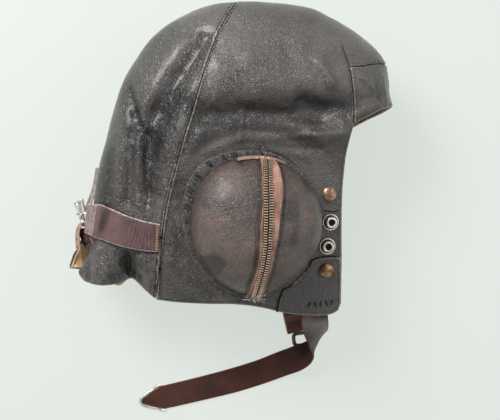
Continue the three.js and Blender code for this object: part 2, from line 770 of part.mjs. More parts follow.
// Neck curtain: two halves split at the back. Each row gives the hem's place, as shares of the back reach
// and of the flap drop, its height as a share of the ridge height, and how deep a fold runs up from it.
const curtainRight = [
  { x: -0.594, y: -0.8, z: 1.44, fold: 0 },
  { x: -0.655, y: -0.72, z: 1.4, fold: 1 },
  { x: -0.72, y: -0.62, z: 1.26, fold: -3 },
  { x: -0.765, y: -0.6, z: 1.1, fold: -7 },
  { x: -0.82, y: -0.645, z: 1.32, fold: 0 },
  { x: -0.925, y: -0.66, z: 1.36, fold: 3 },
  { x: -1.03, y: -0.63, z: 1.16, fold: 2 },
  { x: -1.072, y: -0.55, z: 1.07, fold: 0 },
];
const curtainLeft = [
  { x: -0.588, y: -0.78, z: 0.46, fold: 0 },
  { x: -0.7, y: -0.7, z: 0.4, fold: -1 },
  { x: -0.82, y: -0.62, z: 0.36, fold: -1 },
  { x: -0.94, y: -0.58, z: 0.52, fold: 1 },
  { x: -1.06, y: -0.53, z: 0.66, fold: 0 },
  { x: -1.15, y: -0.5, z: 0.8, fold: 0 },
];
const curtainSteps = 4;
const curtainGap = 1.4;
const flare = 2.3;              // how late the curtain leaves the line of the head
const curtainColumns = 11;

function rowsAt(table, t) {
  const place = t * (table.length - 1);
  const i = Math.min(Math.floor(place), table.length - 2);
  const mix = (key) => table[i][key] + (table[i + 1][key] - table[i][key]) * (place - i);
  return { x: mix('x'), y: mix('y'), z: mix('z'), fold: mix('fold') };
}

function curtain(table, right) {
  const skinAt = right ? rightSkin : leftSkin;
  const start = new THREE.Vector2(strapLevel[0].x, strapLevel[0].y - curtainGap);
  const end = new THREE.Vector2(strapLevel[1].x, strapLevel[1].y - curtainGap);
  const places = [];
  for (let i = 0; i <= curtainColumns; i += 1) {
    const t = i / curtainColumns;
    const top = start.clone().lerp(end, t);
    const topZ = skinAt(top.x, top.y);
    const row = rowsAt(table, t);
    const column = [];
    for (let j = 0; j <= curtainSteps; j += 1) {
      const v = j / curtainSteps;
      const x = top.x + (sideX(row.x) - top.x) * v;
      const y = top.y + (row.y * flapDrop - top.y) * v;
      const z = topZ + (row.z * ridgeHeight - topZ) * v ** flare + row.fold * 1.6 * Math.sin(Math.PI * v) * v;
      column.push(new THREE.Vector3(x, y, z));
    }
    places.push(column);
  }
  return withNormals(places, right ? 1 : -1);
}

// Adds outward normals to a grid of places
function withNormals(places, side) {
  const lastI = places.length - 1;
  const lastJ = places[0].length - 1;
  return places.map((column, i) => column.map((place, j) => {
    const alongI = places[Math.min(i + 1, lastI)][j].clone().sub(places[Math.max(i - 1, 0)][j]);
    const alongJ = column[Math.min(j + 1, lastJ)].clone().sub(column[Math.max(j - 1, 0)]);
    const normal = alongI.cross(alongJ).normalize();
    if (normal.z * side < 0) normal.negate();
    return { place, normal };
  }));
}
const liningThick = 1;
const rightCurtain = curtain(curtainRight, true);
const leftCurtain = curtain(curtainLeft, false);
addPiece('curtain_right', sheet(rightCurtain, -leather, 0), 'leather');
addPiece('curtain_left', sheet(leftCurtain, -leather, 0), 'leather');
const liningTop = -leather - seamGap - 0.2;
const inside = (grid) => grid.slice(1).map((column) => column.slice(1));
addPiece('curtain_lining_right', sheet(inside(rightCurtain), liningTop - liningThick, liningTop), 'lining');
addPiece('curtain_lining_left', sheet(inside(leftCurtain), liningTop - liningThick, liningTop), 'lining');

// Straps: flat leather along a table of stations, each with a middle point and half a width vector
function strap(stations, width, thickness, steps = 2) {
  const middle = new THREE.CatmullRomCurve3(stations.map((s) => s.at), false, 'centripetal');
  const sides = new THREE.CatmullRomCurve3(stations.map((s) => s.across.clone().normalize()), false, 'centripetal');
  const count = (stations.length - 1) * steps;
  const rows = [];
  for (let i = 0; i <= count; i += 1) {
    const t = i / count;
    const at = middle.getPoint(t);
    const ahead = middle.getTangent(t);
    const across = sides.getPoint(t).normalize();
    across.addScaledVector(ahead, -across.dot(ahead)).normalize();
    const normal = ahead.clone().cross(across).normalize();
    const place = Math.min(Math.floor(t * (stations.length - 1)), stations.length - 2);
    const mix = t * (stations.length - 1) - place;
    const from = stations[place].share ?? 1;
    const to = stations[place + 1].share ?? 1;
    const halfWidth = (width / 2) * (from + (to - from) * mix);
    rows.push([-1, 1].map((side) => ({ place: at.clone().addScaledVector(across, side * halfWidth), normal })));
  }
  return sheet(rows, -thickness / 2, thickness / 2);
}

// Chin strap: sewn inside the right flap, it hangs over the hem, turns over and lies on the surface.
// Columns: place as shares of the flap front and of the flap drop, height as a share of the hem's
// height, the width's direction, and the width's share where the end is cut to a point.
const chinStrapWidth = 24;
const strapLeather = 1.8;
const chinRows = [
  { x: 0.68, y: -0.8, z: 0.9, ax: 1, ay: 0, az: -0.2, share: 1 },
  { x: 0.69, y: -1.03, z: 0.86, ax: 1, ay: 0, az: -0.25, share: 1 },
  { x: 0.73, y: -1.2, z: 0.7, ax: 0.93, ay: 0.1, az: -0.45, share: 1 },
  { x: 0.775, y: -1.33, z: 0.46, ax: 0.62, ay: 0.15, az: -0.78, share: 1 },
  { x: 0.76, y: -1.44, z: 0.26, ax: 0.05, ay: 0.15, az: -1, share: 1 },
  { x: 0.68, y: -1.53, z: 0.18, ax: -0.3, ay: 0.5, az: -0.75, share: 1 },
  { x: 0.53, y: -1.62, z: 0.15, ax: -0.38, ay: 0.85, az: -0.3, share: 1 },
  { x: 0.32, y: -1.71, z: 0.06, ax: -0.36, ay: 0.93, az: -0.03, share: 1 },
  { x: 0.06, y: -1.81, z: 0.015, ax: -0.33, ay: 0.94, az: 0, share: 0.98 },
  { x: -0.28, y: -1.91, z: 0.015, ax: -0.26, ay: 0.96, az: 0, share: 0.98 },
  { x: -0.65, y: -2.0, z: 0.015, ax: -0.24, ay: 0.97, az: 0, share: 0.95 },
  { x: -1.22, y: -2.125, z: 0.015, ax: -0.2, ay: 0.98, az: 0, share: 0.92 },
  { x: -1.49, y: -2.175, z: 0.015, ax: -0.17, ay: 0.99, az: 0, share: 0.16 },
];
const hemHeight = rightSkin(0.68 * flapFront, -flapDrop) - leather - strapLeather;
const lieHeight = strapLeather / 2 + seamGap;

function chinPoint(row) {
  const x = row.x * flapFront;
  const y = row.y * flapDrop;
  const under = rightSkin(x, y) - leather - strapLeather / 2 - 3 * seamGap;
  const z = row.z > 0.8 ? under : Math.max(row.z * hemHeight, lieHeight);
  return new THREE.Vector3(x, y, z);
}
const chinStations = chinRows.map((row) => ({
  at: chinPoint(row),
  across: new THREE.Vector3(row.ax, row.ay, row.az),
  share: row.share,
}));
addPiece('chin_strap', strap(chinStations, chinStrapWidth, strapLeather), 'strap');

// Pointed metal tip round the end of the chin strap
const tipRim = 3.2;
const tipThick = 2.6;
const tipBack = chinStations[chinStations.length - 2];
const tipFront = chinStations[chinStations.length - 1];
function tipGeometry() {
  const ahead = tipFront.at.clone().sub(tipBack.at);
  const length = ahead.length();
  const wide = (chinStrapWidth / 2) * tipBack.share + seamGap;
  const point = (chinStrapWidth / 2) * tipFront.share + seamGap;
  const shape = new THREE.Shape([
    new THREE.Vector2(-0.06 * length, wide + 0.4 * tipRim),
    new THREE.Vector2(-0.06 * length, wide + 0.25),
    new THREE.Vector2(0, wide + 0.25),
    new THREE.Vector2(length + seamGap, point + 0.25),
    new THREE.Vector2(length + seamGap, -point - 0.25),
    new THREE.Vector2(0, -wide - 0.25),
    new THREE.Vector2(-0.06 * length, -wide - 0.25),
    new THREE.Vector2(-0.06 * length, -wide - 0.4 * tipRim),
    new THREE.Vector2(0.1 * length, -wide - 0.1 * tipRim),
    new THREE.Vector2(length + tipRim, -0.6 * point),
    new THREE.Vector2(length + tipRim, 0.6 * point),
    new THREE.Vector2(0.1 * length, wide + 0.1 * tipRim),
  ]);
  const geometry = new THREE.ExtrudeGeometry(shape, { depth: tipThick, bevelEnabled: false });
  geometry.rotateZ(Math.atan2(ahead.y, ahead.x));
  geometry.translate(tipBack.at.x, tipBack.at.y, 0);
  return geometry;
}
addPiece('chin_strap_tip', tipGeometry(), 'steel');

// Short tab of the left flap with its metal ring, both near the surface
const tabWidth = 25;
const ringWide = 20;
const ringDeep = 15;
const ringThick = 2.4;
const ringBar = 3;
const ringTilt = 0.13;
const tabRows = [
  { x: 0.52, y: -0.86, z: 0.75 },
  { x: 0.53, y: -1.04, z: 0.66 },
  { x: 0.55, y: -1.12, z: 0.42 },
  { x: 0.58, y: -1.23, z: 0.17 },
  { x: 0.6, y: -1.3, z: 0.13 },
];
const leftHem = leftSkin(0.48 * flapFront, -flapDrop);
const tabStations = tabRows.map((row) => {
  const x = row.x * flapFront;
  const y = row.y * flapDrop;
  const within = leftSkin(x, y) + leather + strapLeather / 2 + 3 * seamGap;
  const z = row.z > 0.6 ? within : row.z * leftHem;
  return { at: new THREE.Vector3(x, y, z), across: new THREE.Vector3(1, 0.1, 0) };
});
addPiece('chin_tab', strap(tabStations, tabWidth, strapLeather), 'suede');

function roundedFrame(wide, deep, bar, thick) {
  const outer = roundedPath(wide, deep);
  const hole = roundedPath(wide - 2 * bar, deep - 2 * bar);
  const shape = new THREE.Shape(outer);
  shape.holes.push(new THREE.Path(hole));
  return new THREE.ExtrudeGeometry(shape, { depth: thick, bevelEnabled: false });
}

function roundedPath(wide, deep, steps = 4) {
  const radius = 0.32 * Math.min(wide, deep);
  const points = [];
  const corners = [[1, 1, 0], [-1, 1, 1], [-1, -1, 2], [1, -1, 3]];
  for (const [sx, sy, quarter] of corners) {
    for (let i = 0; i <= steps; i += 1) {
      const angle = (Math.PI / 2) * (quarter + i / steps);
      const x = sx * (wide / 2 - radius) + radius * Math.cos(angle);
      const y = sy * (deep / 2 - radius) + radius * Math.sin(angle);
      points.push(new THREE.Vector2(x, y));
    }
  }
  return points;
}
const tabEnd = tabStations[tabStations.length - 1].at;
const ring = addPiece('chin_ring', roundedFrame(ringWide, ringDeep, ringBar, ringThick), 'steel');
ring.rotation.z = ringTilt;
ring.position.set(tabEnd.x + 1, tabEnd.y - ringDeep / 2 - 2.5 * seamGap, seamGap);

// Nape strap: from each side seam round the back to the buckle. It is sewn at the seam and
// stands off the leather from there on: stand is that distance, seated how far it takes the leather's slope.
const rearStrapWidth = 25.5;
const rearRows = [
  { x: -0.552, y: -0.052, stand: 1.15, seated: 1 },
  { x: -0.66, y: -0.04, stand: 1.3, seated: 0.8 },
  { x: -0.77, y: -0.018, stand: 2.6, seated: 0 },
  { x: -0.87, y: 0.01, stand: 2.6, seated: 0 },
  { x: -0.91, y: 0.02, stand: 2.6, seated: 0 },
];
function rearStations(right) {
  const skinAt = right ? rightSkin : leftSkin;
  const side = right ? 1 : -1;
  const stations = rearRows.map((row) => {
    const x = row.x * backReach;
    const y = row.y * crownHeight;
    const step = 2;
    const slope = (skinAt(x + step, y) - skinAt(x - step, y)) / (2 * step);
    const out = new THREE.Vector3(-slope, 0, 1).normalize().multiplyScalar(side);
    const at = new THREE.Vector3(x, y, skinAt(x, y)).addScaledVector(out, row.stand + strapLeather / 2);
    const reach = 0.45 * rearStrapWidth;
    const rise = (skinAt(x, y + reach) - skinAt(x, y - reach)) / (2 * reach);
    return { at, across: new THREE.Vector3(0.13, 1, rise * row.seated) };
  });
  const turn = [
    { x: 1.012, z: right ? 1.22 : 0.68 },
    { x: 1.032, z: right ? 1.06 : 0.88 },
  ];
  for (const { x, z } of turn) {
    stations.push({
      at: new THREE.Vector3(-x * backReach, 0.03 * crownHeight, z * ridgeHeight),
      across: new THREE.Vector3(0.1, 1, 0),
      share: 0.85,
    });
  }
  return stations;
}
addPiece('rear_strap_right', strap(rearStations(true), rearStrapWidth, strapLeather), 'strap');
addPiece('rear_strap_left', strap(rearStations(false), rearStrapWidth, strapLeather), 'strap');

// Buckle at the back, seen on its edge from the side: it lies over the ends of the nape strap
const buckleTall = 24;
const buckleWide = 15;
const buckleBar = 2.4;
const buckleThick = 2.2;
const buckleLean = 0.24;
const buckleCentre = new THREE.Vector3(
  -1.053 * backReach - strapLeather / 2 - seamGap,
  0.055 * crownHeight,
  0.97 * ridgeHeight,
);
const buckle = new THREE.Group();
buckle.position.copy(buckleCentre);
buckle.rotation.set(0, -Math.PI / 2, buckleLean, 'ZXY');
helmet.add(buckle);
const frameShape = roundedFrame(buckleWide, buckleTall, buckleBar, buckleThick);
addPiece('rear_buckle', frameShape, 'steel', buckle);
const prongRadius = 1;
const prong = new THREE.CylinderGeometry(prongRadius, prongRadius, buckleWide + 3, 8);
prong.rotateZ(Math.PI / 2);
prong.translate(0, 0, buckleThick + prongRadius + seamGap);
addPiece('rear_prong', prong, 'steel', buckle);

// Small leathers at the buckle, all standing on edge: their width runs across the back
const smallLeathers = [
  {
    name: 'rear_tail',
    look: 'suede',
    width: 0.55 * rearStrapWidth,
    stations: [[-1.067, 0.005], [-1.084, -0.02], [-1.088, -0.065], [-1.08, -0.115]],
  },
  {
    name: 'rear_keeper',
    look: 'strap',
    width: 0.51 * rearStrapWidth,
    stations: [[-1.0515, -0.015], [-1.052, -0.045], [-1.04, -0.075], [-1.025, -0.095]],
  },
  {
    name: 'rear_tab',
    look: 'leather',
    width: 0.59 * rearStrapWidth,
    stations: [[-0.9615, 0.26], [-0.985, 0.18], [-1.01, 0.14], [-1.032, 0.112]],
  },
];
for (const { name, look, width, stations } of smallLeathers) {
  const spots = stations.map(([x, y]) => ({
    at: new THREE.Vector3(x * backReach, y * crownHeight, ridgeHeight),
    across: new THREE.Vector3(0, 0, 1),
  }));
  addPiece(name, strap(spots, width, strapLeather), look);
}

// Worn bar across the top end of the zip
const barThick = 0.8;
const barGrid = [-0.34, -0.22, -0.1, 0.02, 0.14, 0.26, 0.38].map((side) => {
  return [80, 85, 90].map((turn) => domeSpot(side, turn));
});
const barLift = teethLift;
addPiece('zip_top_bar', sheet(barGrid, barLift, barLift + barThick), 'tape', rightEar);

export default helmet;
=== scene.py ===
# %% [markdown]
# # A leather flying helmet in Blender
#
# The helmet lies on its left side on a pale surface, and the camera looks straight down at it.
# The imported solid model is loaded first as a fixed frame. Each soft piece is then built again
# as a finer surface in the same place, with leather, cloth and metal finishes.

# %% Load the frame
import math

import bpy
import numpy as np
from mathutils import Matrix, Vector


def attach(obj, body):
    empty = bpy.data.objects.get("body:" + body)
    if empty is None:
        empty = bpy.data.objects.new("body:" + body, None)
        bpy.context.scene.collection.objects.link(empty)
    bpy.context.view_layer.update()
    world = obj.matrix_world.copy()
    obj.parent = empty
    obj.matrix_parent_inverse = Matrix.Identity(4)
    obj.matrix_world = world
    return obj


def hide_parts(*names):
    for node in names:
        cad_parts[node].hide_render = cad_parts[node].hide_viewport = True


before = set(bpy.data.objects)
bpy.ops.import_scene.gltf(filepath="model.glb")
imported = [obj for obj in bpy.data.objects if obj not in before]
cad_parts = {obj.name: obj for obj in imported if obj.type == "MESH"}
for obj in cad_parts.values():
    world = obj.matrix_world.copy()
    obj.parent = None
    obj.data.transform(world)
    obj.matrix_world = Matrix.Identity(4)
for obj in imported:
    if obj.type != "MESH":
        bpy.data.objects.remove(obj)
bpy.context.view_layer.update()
MM = 0.001
print("frame:", len(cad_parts), "nodes")

# %% [markdown]
# ## Camera
#
# The photograph was taken from straight above. Matching the camera first means that every later
# piece can be compared with it. A line of sight through a point of the photograph meets the
# leather at one place, so the same numbers also place seams and folds.

# %% Camera
PHOTO_WIDE, PHOTO_TALL = 500, 420
SENSOR = 36.0
camera_x, camera_y, camera_z = -5.9, 13.6, 870.0        # mm
mm_per_pixel_far = 0.88 / 800.0                         # at one mm of distance
lens = SENSOR / (PHOTO_WIDE * mm_per_pixel_far)

camera_data = bpy.data.cameras.new("camera")
camera_data.sensor_width = SENSOR
camera_data.lens = lens
camera_data.clip_end = 10.0
camera = bpy.data.objects.new("camera", camera_data)
camera.location = (camera_x * MM, camera_y * MM, camera_z * MM)
bpy.context.scene.collection.objects.link(camera)
bpy.context.scene.camera = camera
print("camera: lens", round(lens, 1), "mm at", camera_z, "mm")


def in_side_view(across, down, height):
    """Side-view place of photograph points at a height: the distance from the camera scales the offset."""
    scale = mm_per_pixel_far * (camera_z - np.asarray(height, float))
    x = (np.asarray(across, float) - PHOTO_WIDE / 2) * scale + camera_x
    y = -(np.asarray(down, float) - PHOTO_TALL / 2) * scale + camera_y
    return x, y


# %% [markdown]
# ## Driving sizes
#
# These are the sizes of the solid model, in millimetres. The finer surfaces use the same
# formulas, so they lie where the solids lie.

# %% Driving sizes
cap_length = 270.5
crown_height = 196.3
ridge_height = 62.0
right_rise = 66.0
left_sink = 92.0
leather = 1.8
seam_gap = 0.3
pillow_power = 2.4

dome_width = 108.8
dome_tall = 118.0
dome_bulge = 38.0
dome_tuck = 14.0
rim_turn = math.radians(115)
dome_power = 2.25
welt_width = 5.4
welt_shift_x = -3.0
welt_shift_y = 2.6
welt_height = 2.2
ear_x, ear_y = 0.0, -1.0
right_ear_height = 100.0
right_slope_x, right_slope_y = -0.2, 0.14
left_ear_height = 0.484 * ridge_height

neck_droop, face_droop, hem_droop, far_brow = 14.0, 26.0, 10.0, 7.0
brow_reach = cap_length * 0.459
back_reach = cap_length * 0.541

rim_share = math.sin(rim_turn) ** (2 / dome_power)
rim_depth = dome_tuck * abs(math.cos(rim_turn)) ** (2 / dome_power)
tuck_share = (1 - ((rim_depth - welt_height) / dome_tuck) ** dome_power) ** (1 / dome_power)
rim_half_x = dome_width / 2 * rim_share
rim_half_y = dome_tall / 2 * rim_share
welt_inner_x = dome_width / 2 * tuck_share
welt_inner_y = dome_tall / 2 * tuck_share
welt_half_x = welt_inner_x + welt_width
welt_half_y = welt_inner_y + welt_width
welt_x = ear_x + welt_shift_x
welt_y = ear_y + welt_shift_y
flap_front = welt_x + welt_half_x + 1 + 14.4 + 3.0
flap_drop = welt_half_y - welt_y + 17.0
print("flap front", round(flap_front, 1), "flap drop", round(flap_drop, 1))


# %% [markdown]
# ## Tools for shapes
#
# A handful of small functions do all the modelling: smooth steps, smooth curves through points,
# repeatable noise, and a call that turns arrays into a mesh. Noise made from a seeded table gives
# the same leather on every run.

# %% Smooth steps and curves
def ease(t):
    """Smooth step: 3t² - 2t³ between 0 and 1."""
    s = np.clip(t, 0.0, 1.0)
    return s * s * (3 - 2 * s)


def soft_floor(z, blend):
    """z above the blend, 0 below minus the blend, and a parabola between them."""
    curve = (z + blend) ** 2 / (4 * blend)
    return np.where(z >= blend, z, np.where(z <= -blend, 0.0, curve))


def hermite(p1, p2, t1, t2, s):
    """Cubic from p1 to p2 that leaves with tangent t1 and arrives with t2."""
    a = 2 * s ** 3 - 3 * s ** 2 + 1
    b = s ** 3 - 2 * s ** 2 + s
    return a * p1 + b * t1 + (1 - a) * p2 + (s ** 3 - s ** 2) * t2


def smooth_line(points, steps, closed=False):
    """Uniform Catmull-Rom curve: each tangent is half the step between the two neighbours."""
    p = np.asarray(points, float)
    ring = np.vstack([p[-1:], p, p[:2]]) if closed else np.vstack([p[:1], p, p[-1:]])
    count = len(ring) - 3
    t = np.linspace(0, count, steps + 1)
    i = np.minimum(t.astype(int), count - 1)
    s = (t - i)[:, None]
    return hermite(ring[i + 1], ring[i + 2], (ring[i + 2] - ring[i]) / 2, (ring[i + 3] - ring[i + 1]) / 2, s)


def even_line(points, steps):
    """Centripetal Catmull-Rom curve: the tangents use the square root of each step's length."""
    p = np.asarray(points, float)
    ring = np.vstack([2 * p[:1] - p[1:2], p, 2 * p[-1:] - p[-2:-1]])
    gap = np.sqrt(np.linalg.norm(np.diff(ring, axis=0), axis=1))[:, None]
    gap = np.where(gap < 0.01, 1.0, gap)
    count = len(p) - 1
    t = np.linspace(0, count, steps + 1)
    i = np.minimum(t.astype(int), count - 1)
    p0, p1, p2, p3 = ring[i], ring[i + 1], ring[i + 2], ring[i + 3]
    d0, d1, d2 = gap[i], gap[i + 1], gap[i + 2]
    t1 = ((p1 - p0) / d0 - (p2 - p0) / (d0 + d1) + (p2 - p1) / d1) * d1
    t2 = ((p2 - p1) / d1 - (p3 - p1) / (d1 + d2) + (p3 - p2) / d2) * d1
    return hermite(p1, p2, t1, t2, (t - i)[:, None])


def unit(v):
    """Directions divided by their own length."""
    return v / np.maximum(np.linalg.norm(v, axis=-1, keepdims=True), 1e-9)


def distance_run(path):
    """Distance from the start at every point of a path."""
    return np.concatenate([[0], np.cumsum(np.linalg.norm(np.diff(path, axis=0), axis=1))])


def spin_by(angle):
    """Matrix that turns round the z axis."""
    return np.array([[math.cos(angle), -math.sin(angle), 0], [math.sin(angle), math.cos(angle), 0], [0, 0, 1]])


def resample(path, spacing):
    """Points at even distances along a path."""
    path = np.asarray(path, float)
    run = distance_run(path)
    count = max(int(run[-1] / spacing), 2)
    at = np.linspace(0, run[-1], count + 1)
    return np.stack([np.interp(at, run, path[:, k]) for k in range(path.shape[1])], axis=1)


def side_x(share):
    """Share of the brow reach in front of the ear, of the back reach behind it."""
    share = np.asarray(share, float)
    return share * np.where(share > 0, brow_reach, back_reach)


def side_points(shares):
    """Side-view places from rows of shares."""
    rows = np.asarray(shares, float)
    return np.stack([side_x(rows[:, 0]), rows[:, 1] * crown_height], axis=1)


# %% Repeatable noise
LATTICE = 64
lattice_table = np.random.default_rng(7).uniform(-1, 1, (LATTICE, LATTICE))


def noise(x, y, size):
    """Value noise: random numbers on a lattice of that size, joined by smooth steps."""
    gx, gy = np.asarray(x) / size + 1000.0, np.asarray(y) / size + 1000.0
    ix, iy = np.floor(gx).astype(int), np.floor(gy).astype(int)
    fx, fy = ease(gx - ix), ease(gy - iy)
    at = lambda a, b: lattice_table[(ix + a) % LATTICE, (iy + b) % LATTICE]
    low = at(0, 0) + (at(1, 0) - at(0, 0)) * fx
    high = at(0, 1) + (at(1, 1) - at(0, 1)) * fx
    return low + (high - low) * fy


def creases(x, y, size):
    """Ridged noise: one minus the absolute value of bent value noise, so that thin lines stand out."""
    bend = noise(x, y, 2.2 * size) * size * 0.9
    return 1 - 2 * np.abs(noise(x + bend, y - bend, size)) ** 0.6


# %% [markdown]
# ## From arrays to meshes
#
# Every new surface ends in one call. It writes the points in metres, the faces, a smooth look,
# the finishes and any named masks that the finishes read.

# %% Mesh from arrays
def ride_root(piece, replaced=()):
    """Puts a finished piece on the helmet and hides the solids it stands for."""
    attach(piece, "root")
    if replaced:
        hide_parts(*replaced)
    return piece


def make_mesh(name, points, faces, finishes, masks=None, which=None):
    """Mesh from points in mm and triangles or quads; a height below the surface is raised to it."""
    mesh = bpy.data.meshes.new(name)
    on_surface = np.maximum(np.asarray(points, float), [-np.inf, -np.inf, 0.0])
    mesh.from_pydata((on_surface * MM).tolist(), [], np.asarray(faces).tolist())
    for finish in finishes:
        mesh.materials.append(finish)
    if which is not None:
        mesh.polygons.foreach_set("material_index", np.asarray(which, np.int32))
    for mask, values in (masks or {}).items():
        layer = mesh.attributes.new(mask, "FLOAT", "POINT")
        flat = np.broadcast_to(np.asarray(values, np.float32).ravel(), len(mesh.vertices))
        layer.data.foreach_set("value", np.ascontiguousarray(flat))
    mesh.polygons.foreach_set("use_smooth", np.full(len(mesh.polygons), True))
    mesh.update()
    piece = bpy.data.objects.new(name, mesh)
    bpy.context.scene.collection.objects.link(piece)
    return piece


def grid_faces(rows, columns, wrap=False):
    """Quads of a grid of rows by columns; wrap closes it round the columns."""
    i, j = np.meshgrid(np.arange(rows - 1), np.arange(columns if wrap else columns - 1), indexing="ij")
    k = (j + 1) % columns
    quad = np.stack([i * columns + j, i * columns + k, (i + 1) * columns + k, (i + 1) * columns + j], axis=-1)
    return quad.reshape(-1, 4)


def grid_normals(grid, wrap=False):
    """Cross product of the steps along the rows and along the columns, made one long."""
    down = np.gradient(grid, axis=0)
    if wrap:
        across = (np.roll(grid, -1, axis=1) - np.roll(grid, 1, axis=1)) / 2
    else:
        across = np.gradient(grid, axis=1)
    return unit(np.cross(down, across))


def thicken(piece, thickness, inner=0):
    """Solidify modifier: a wall under the surface, whose inside may take the next finish."""
    wall = piece.modifiers.new("wall", "SOLIDIFY")
    wall.thickness = thickness * MM
    wall.offset = -1.0
    wall.material_offset = inner
    return piece


def add_piece(name, shape, finishes, replaced=(), masks=None, wall=0.0, inner=0, which=None):
    """A whole piece from its points and faces: mesh, wall if it has one, and its place on the helmet."""
    piece = make_mesh(name, *shape, finishes, masks, which)
    if wall:
        thicken(piece, wall, inner)
    return ride_root(piece, replaced)


def tube(path, radius, sides=8, up=(0, 0, 1)):
    """Points and quads of a tube: a circle carried along a path, its ends drawn to a point."""
    path = np.asarray(path, float)
    ahead = unit(np.gradient(path, axis=0))
    up = np.broadcast_to(np.asarray(up, float), path.shape)
    across = unit(np.cross(ahead, up))
    lift = np.cross(across, ahead)
    angle = np.linspace(0, 2 * np.pi, sides, endpoint=False)
    size = np.broadcast_to(np.asarray(radius, float), (len(path),)).copy()
    size[0] *= 0.05
    size[-1] *= 0.05
    ring = np.cos(angle)[None, :, None] * across[:, None] + np.sin(angle)[None, :, None] * lift[:, None]
    points = path[:, None] + ring * size[:, None, None]
    return points.reshape(-1, 3), grid_faces(len(path), sides, wrap=True)


def joined(parts):
    """One set of points and faces from several."""
    points, faces, start = [], [], 0
    for p, f in parts:
        points.append(p)
        faces.append(np.asarray(f) + start)
        start += len(p)
    return np.vstack(points), np.vstack(faces)


def copies(small, centres, ahead, up):
    """The same small shape set at many places: local x goes ahead, local z up, both given per place."""
    shape, faces = small
    ahead = unit(ahead)
    across = unit(np.cross(up, ahead))
    top = np.cross(ahead, across)
    axes = np.stack([ahead, across, top], axis=1)
    points = np.einsum("pk,nkc->npc", shape, axes) + centres[:, None]
    shift = np.arange(len(centres))[:, None, None] * len(shape)
    return points.reshape(-1, 3), (np.asarray(faces)[None] + shift).reshape(-1, np.shape(faces)[1])


# %% [markdown]
# ## The shape of the head
#
# The cap is a pillow. Its outline in the side view is the ridge of the leather, and on each side
# a rounded height rises from that outline. The right side stands up in folds. The left side has
# sunk flat on the surface. All of this is the solid model's formula, written for whole arrays.

# %% Outline of the head
outline_shares = [
    (0.957, 0.56), (0.94, 0.645), (0.912, 0.728), (0.82, 0.804), (0.679, 0.872), (0.522, 0.931),
    (0.351, 0.978), (0.024, 1.0), (-0.25, 0.99), (-0.463, 0.931), (-0.62, 0.845), (-0.729, 0.737),
    (-0.796, 0.656), (-0.85, 0.547), (-0.905, 0.385), (-0.953, 0.25), (-0.987, 0.092), (-1.0, -0.06),
    (-0.99, -0.24), (-0.9, -0.5), (-0.6, -0.76), (0.0, -0.88), (0.72, -0.76), (1.12, -0.46),
    (1.2, -0.08), (1.1, 0.3),
]
outline = smooth_line(side_points(outline_shares), 60 * len(outline_shares), closed=True)[:-1]
crown_centre = np.array([-0.08 * back_reach, 0.46 * crown_height])


def reach_from(centre):
    """Distance from a centre to the outline, by direction: a table sorted by angle, read between rows."""
    away = outline - centre
    angle = np.arctan2(away[:, 1], away[:, 0])
    order = np.argsort(angle)
    reach = np.hypot(away[:, 0], away[:, 1])[order]
    return lambda a: np.interp(a, angle[order], reach, period=2 * np.pi)


crown_reach = reach_from(crown_centre)
ear_reach = reach_from(np.array([ear_x, ear_y]))


def roundness(x, y):
    """Superellipse height: 1 at the middle of the side and 0 on the outline."""
    dx, dy = x - crown_centre[0], y - crown_centre[1]
    share = np.minimum(np.hypot(dx, dy) / crown_reach(np.arctan2(dy, dx)), 1)
    return (1 - share ** pillow_power) ** (1 / pillow_power)


# %% [markdown]
# Folds are ridges and valleys along lines. Each one adds a bell-shaped height that fades with the
# distance from its line. The first table is the solid model's. The second adds the finer creases
# of worn leather, placed on the photograph.

# %% Folds
# columns: line from a to b as shares, width as a share of the crown height, lift of the right rise
main_folds = [
    (-0.3, 0.79, -0.56, 0.5, 0.05, -0.11), (-0.58, 0.47, -0.62, 0.16, 0.045, -0.08),
    (-0.76, 0.63, -0.67, 0.38, 0.03, -0.06), (-0.8, 0.48, -0.78, 0.1, 0.05, 0.05),
    (-0.73, 0.38, -0.74, 0.1, 0.035, -0.06), (-0.3, 0.47, 0.42, 0.47, 0.07, -0.13),
    (0.3, 0.52, 0.62, 0.5, 0.05, -0.08), (-0.4, 0.26, -0.18, 0.345, 0.04, 0.07),
    (0.03, 0.385, 0.58, 0.39, 0.045, 0.08), (0.43, 0.7, 0.5, 0.6, 0.025, 0.04),
]
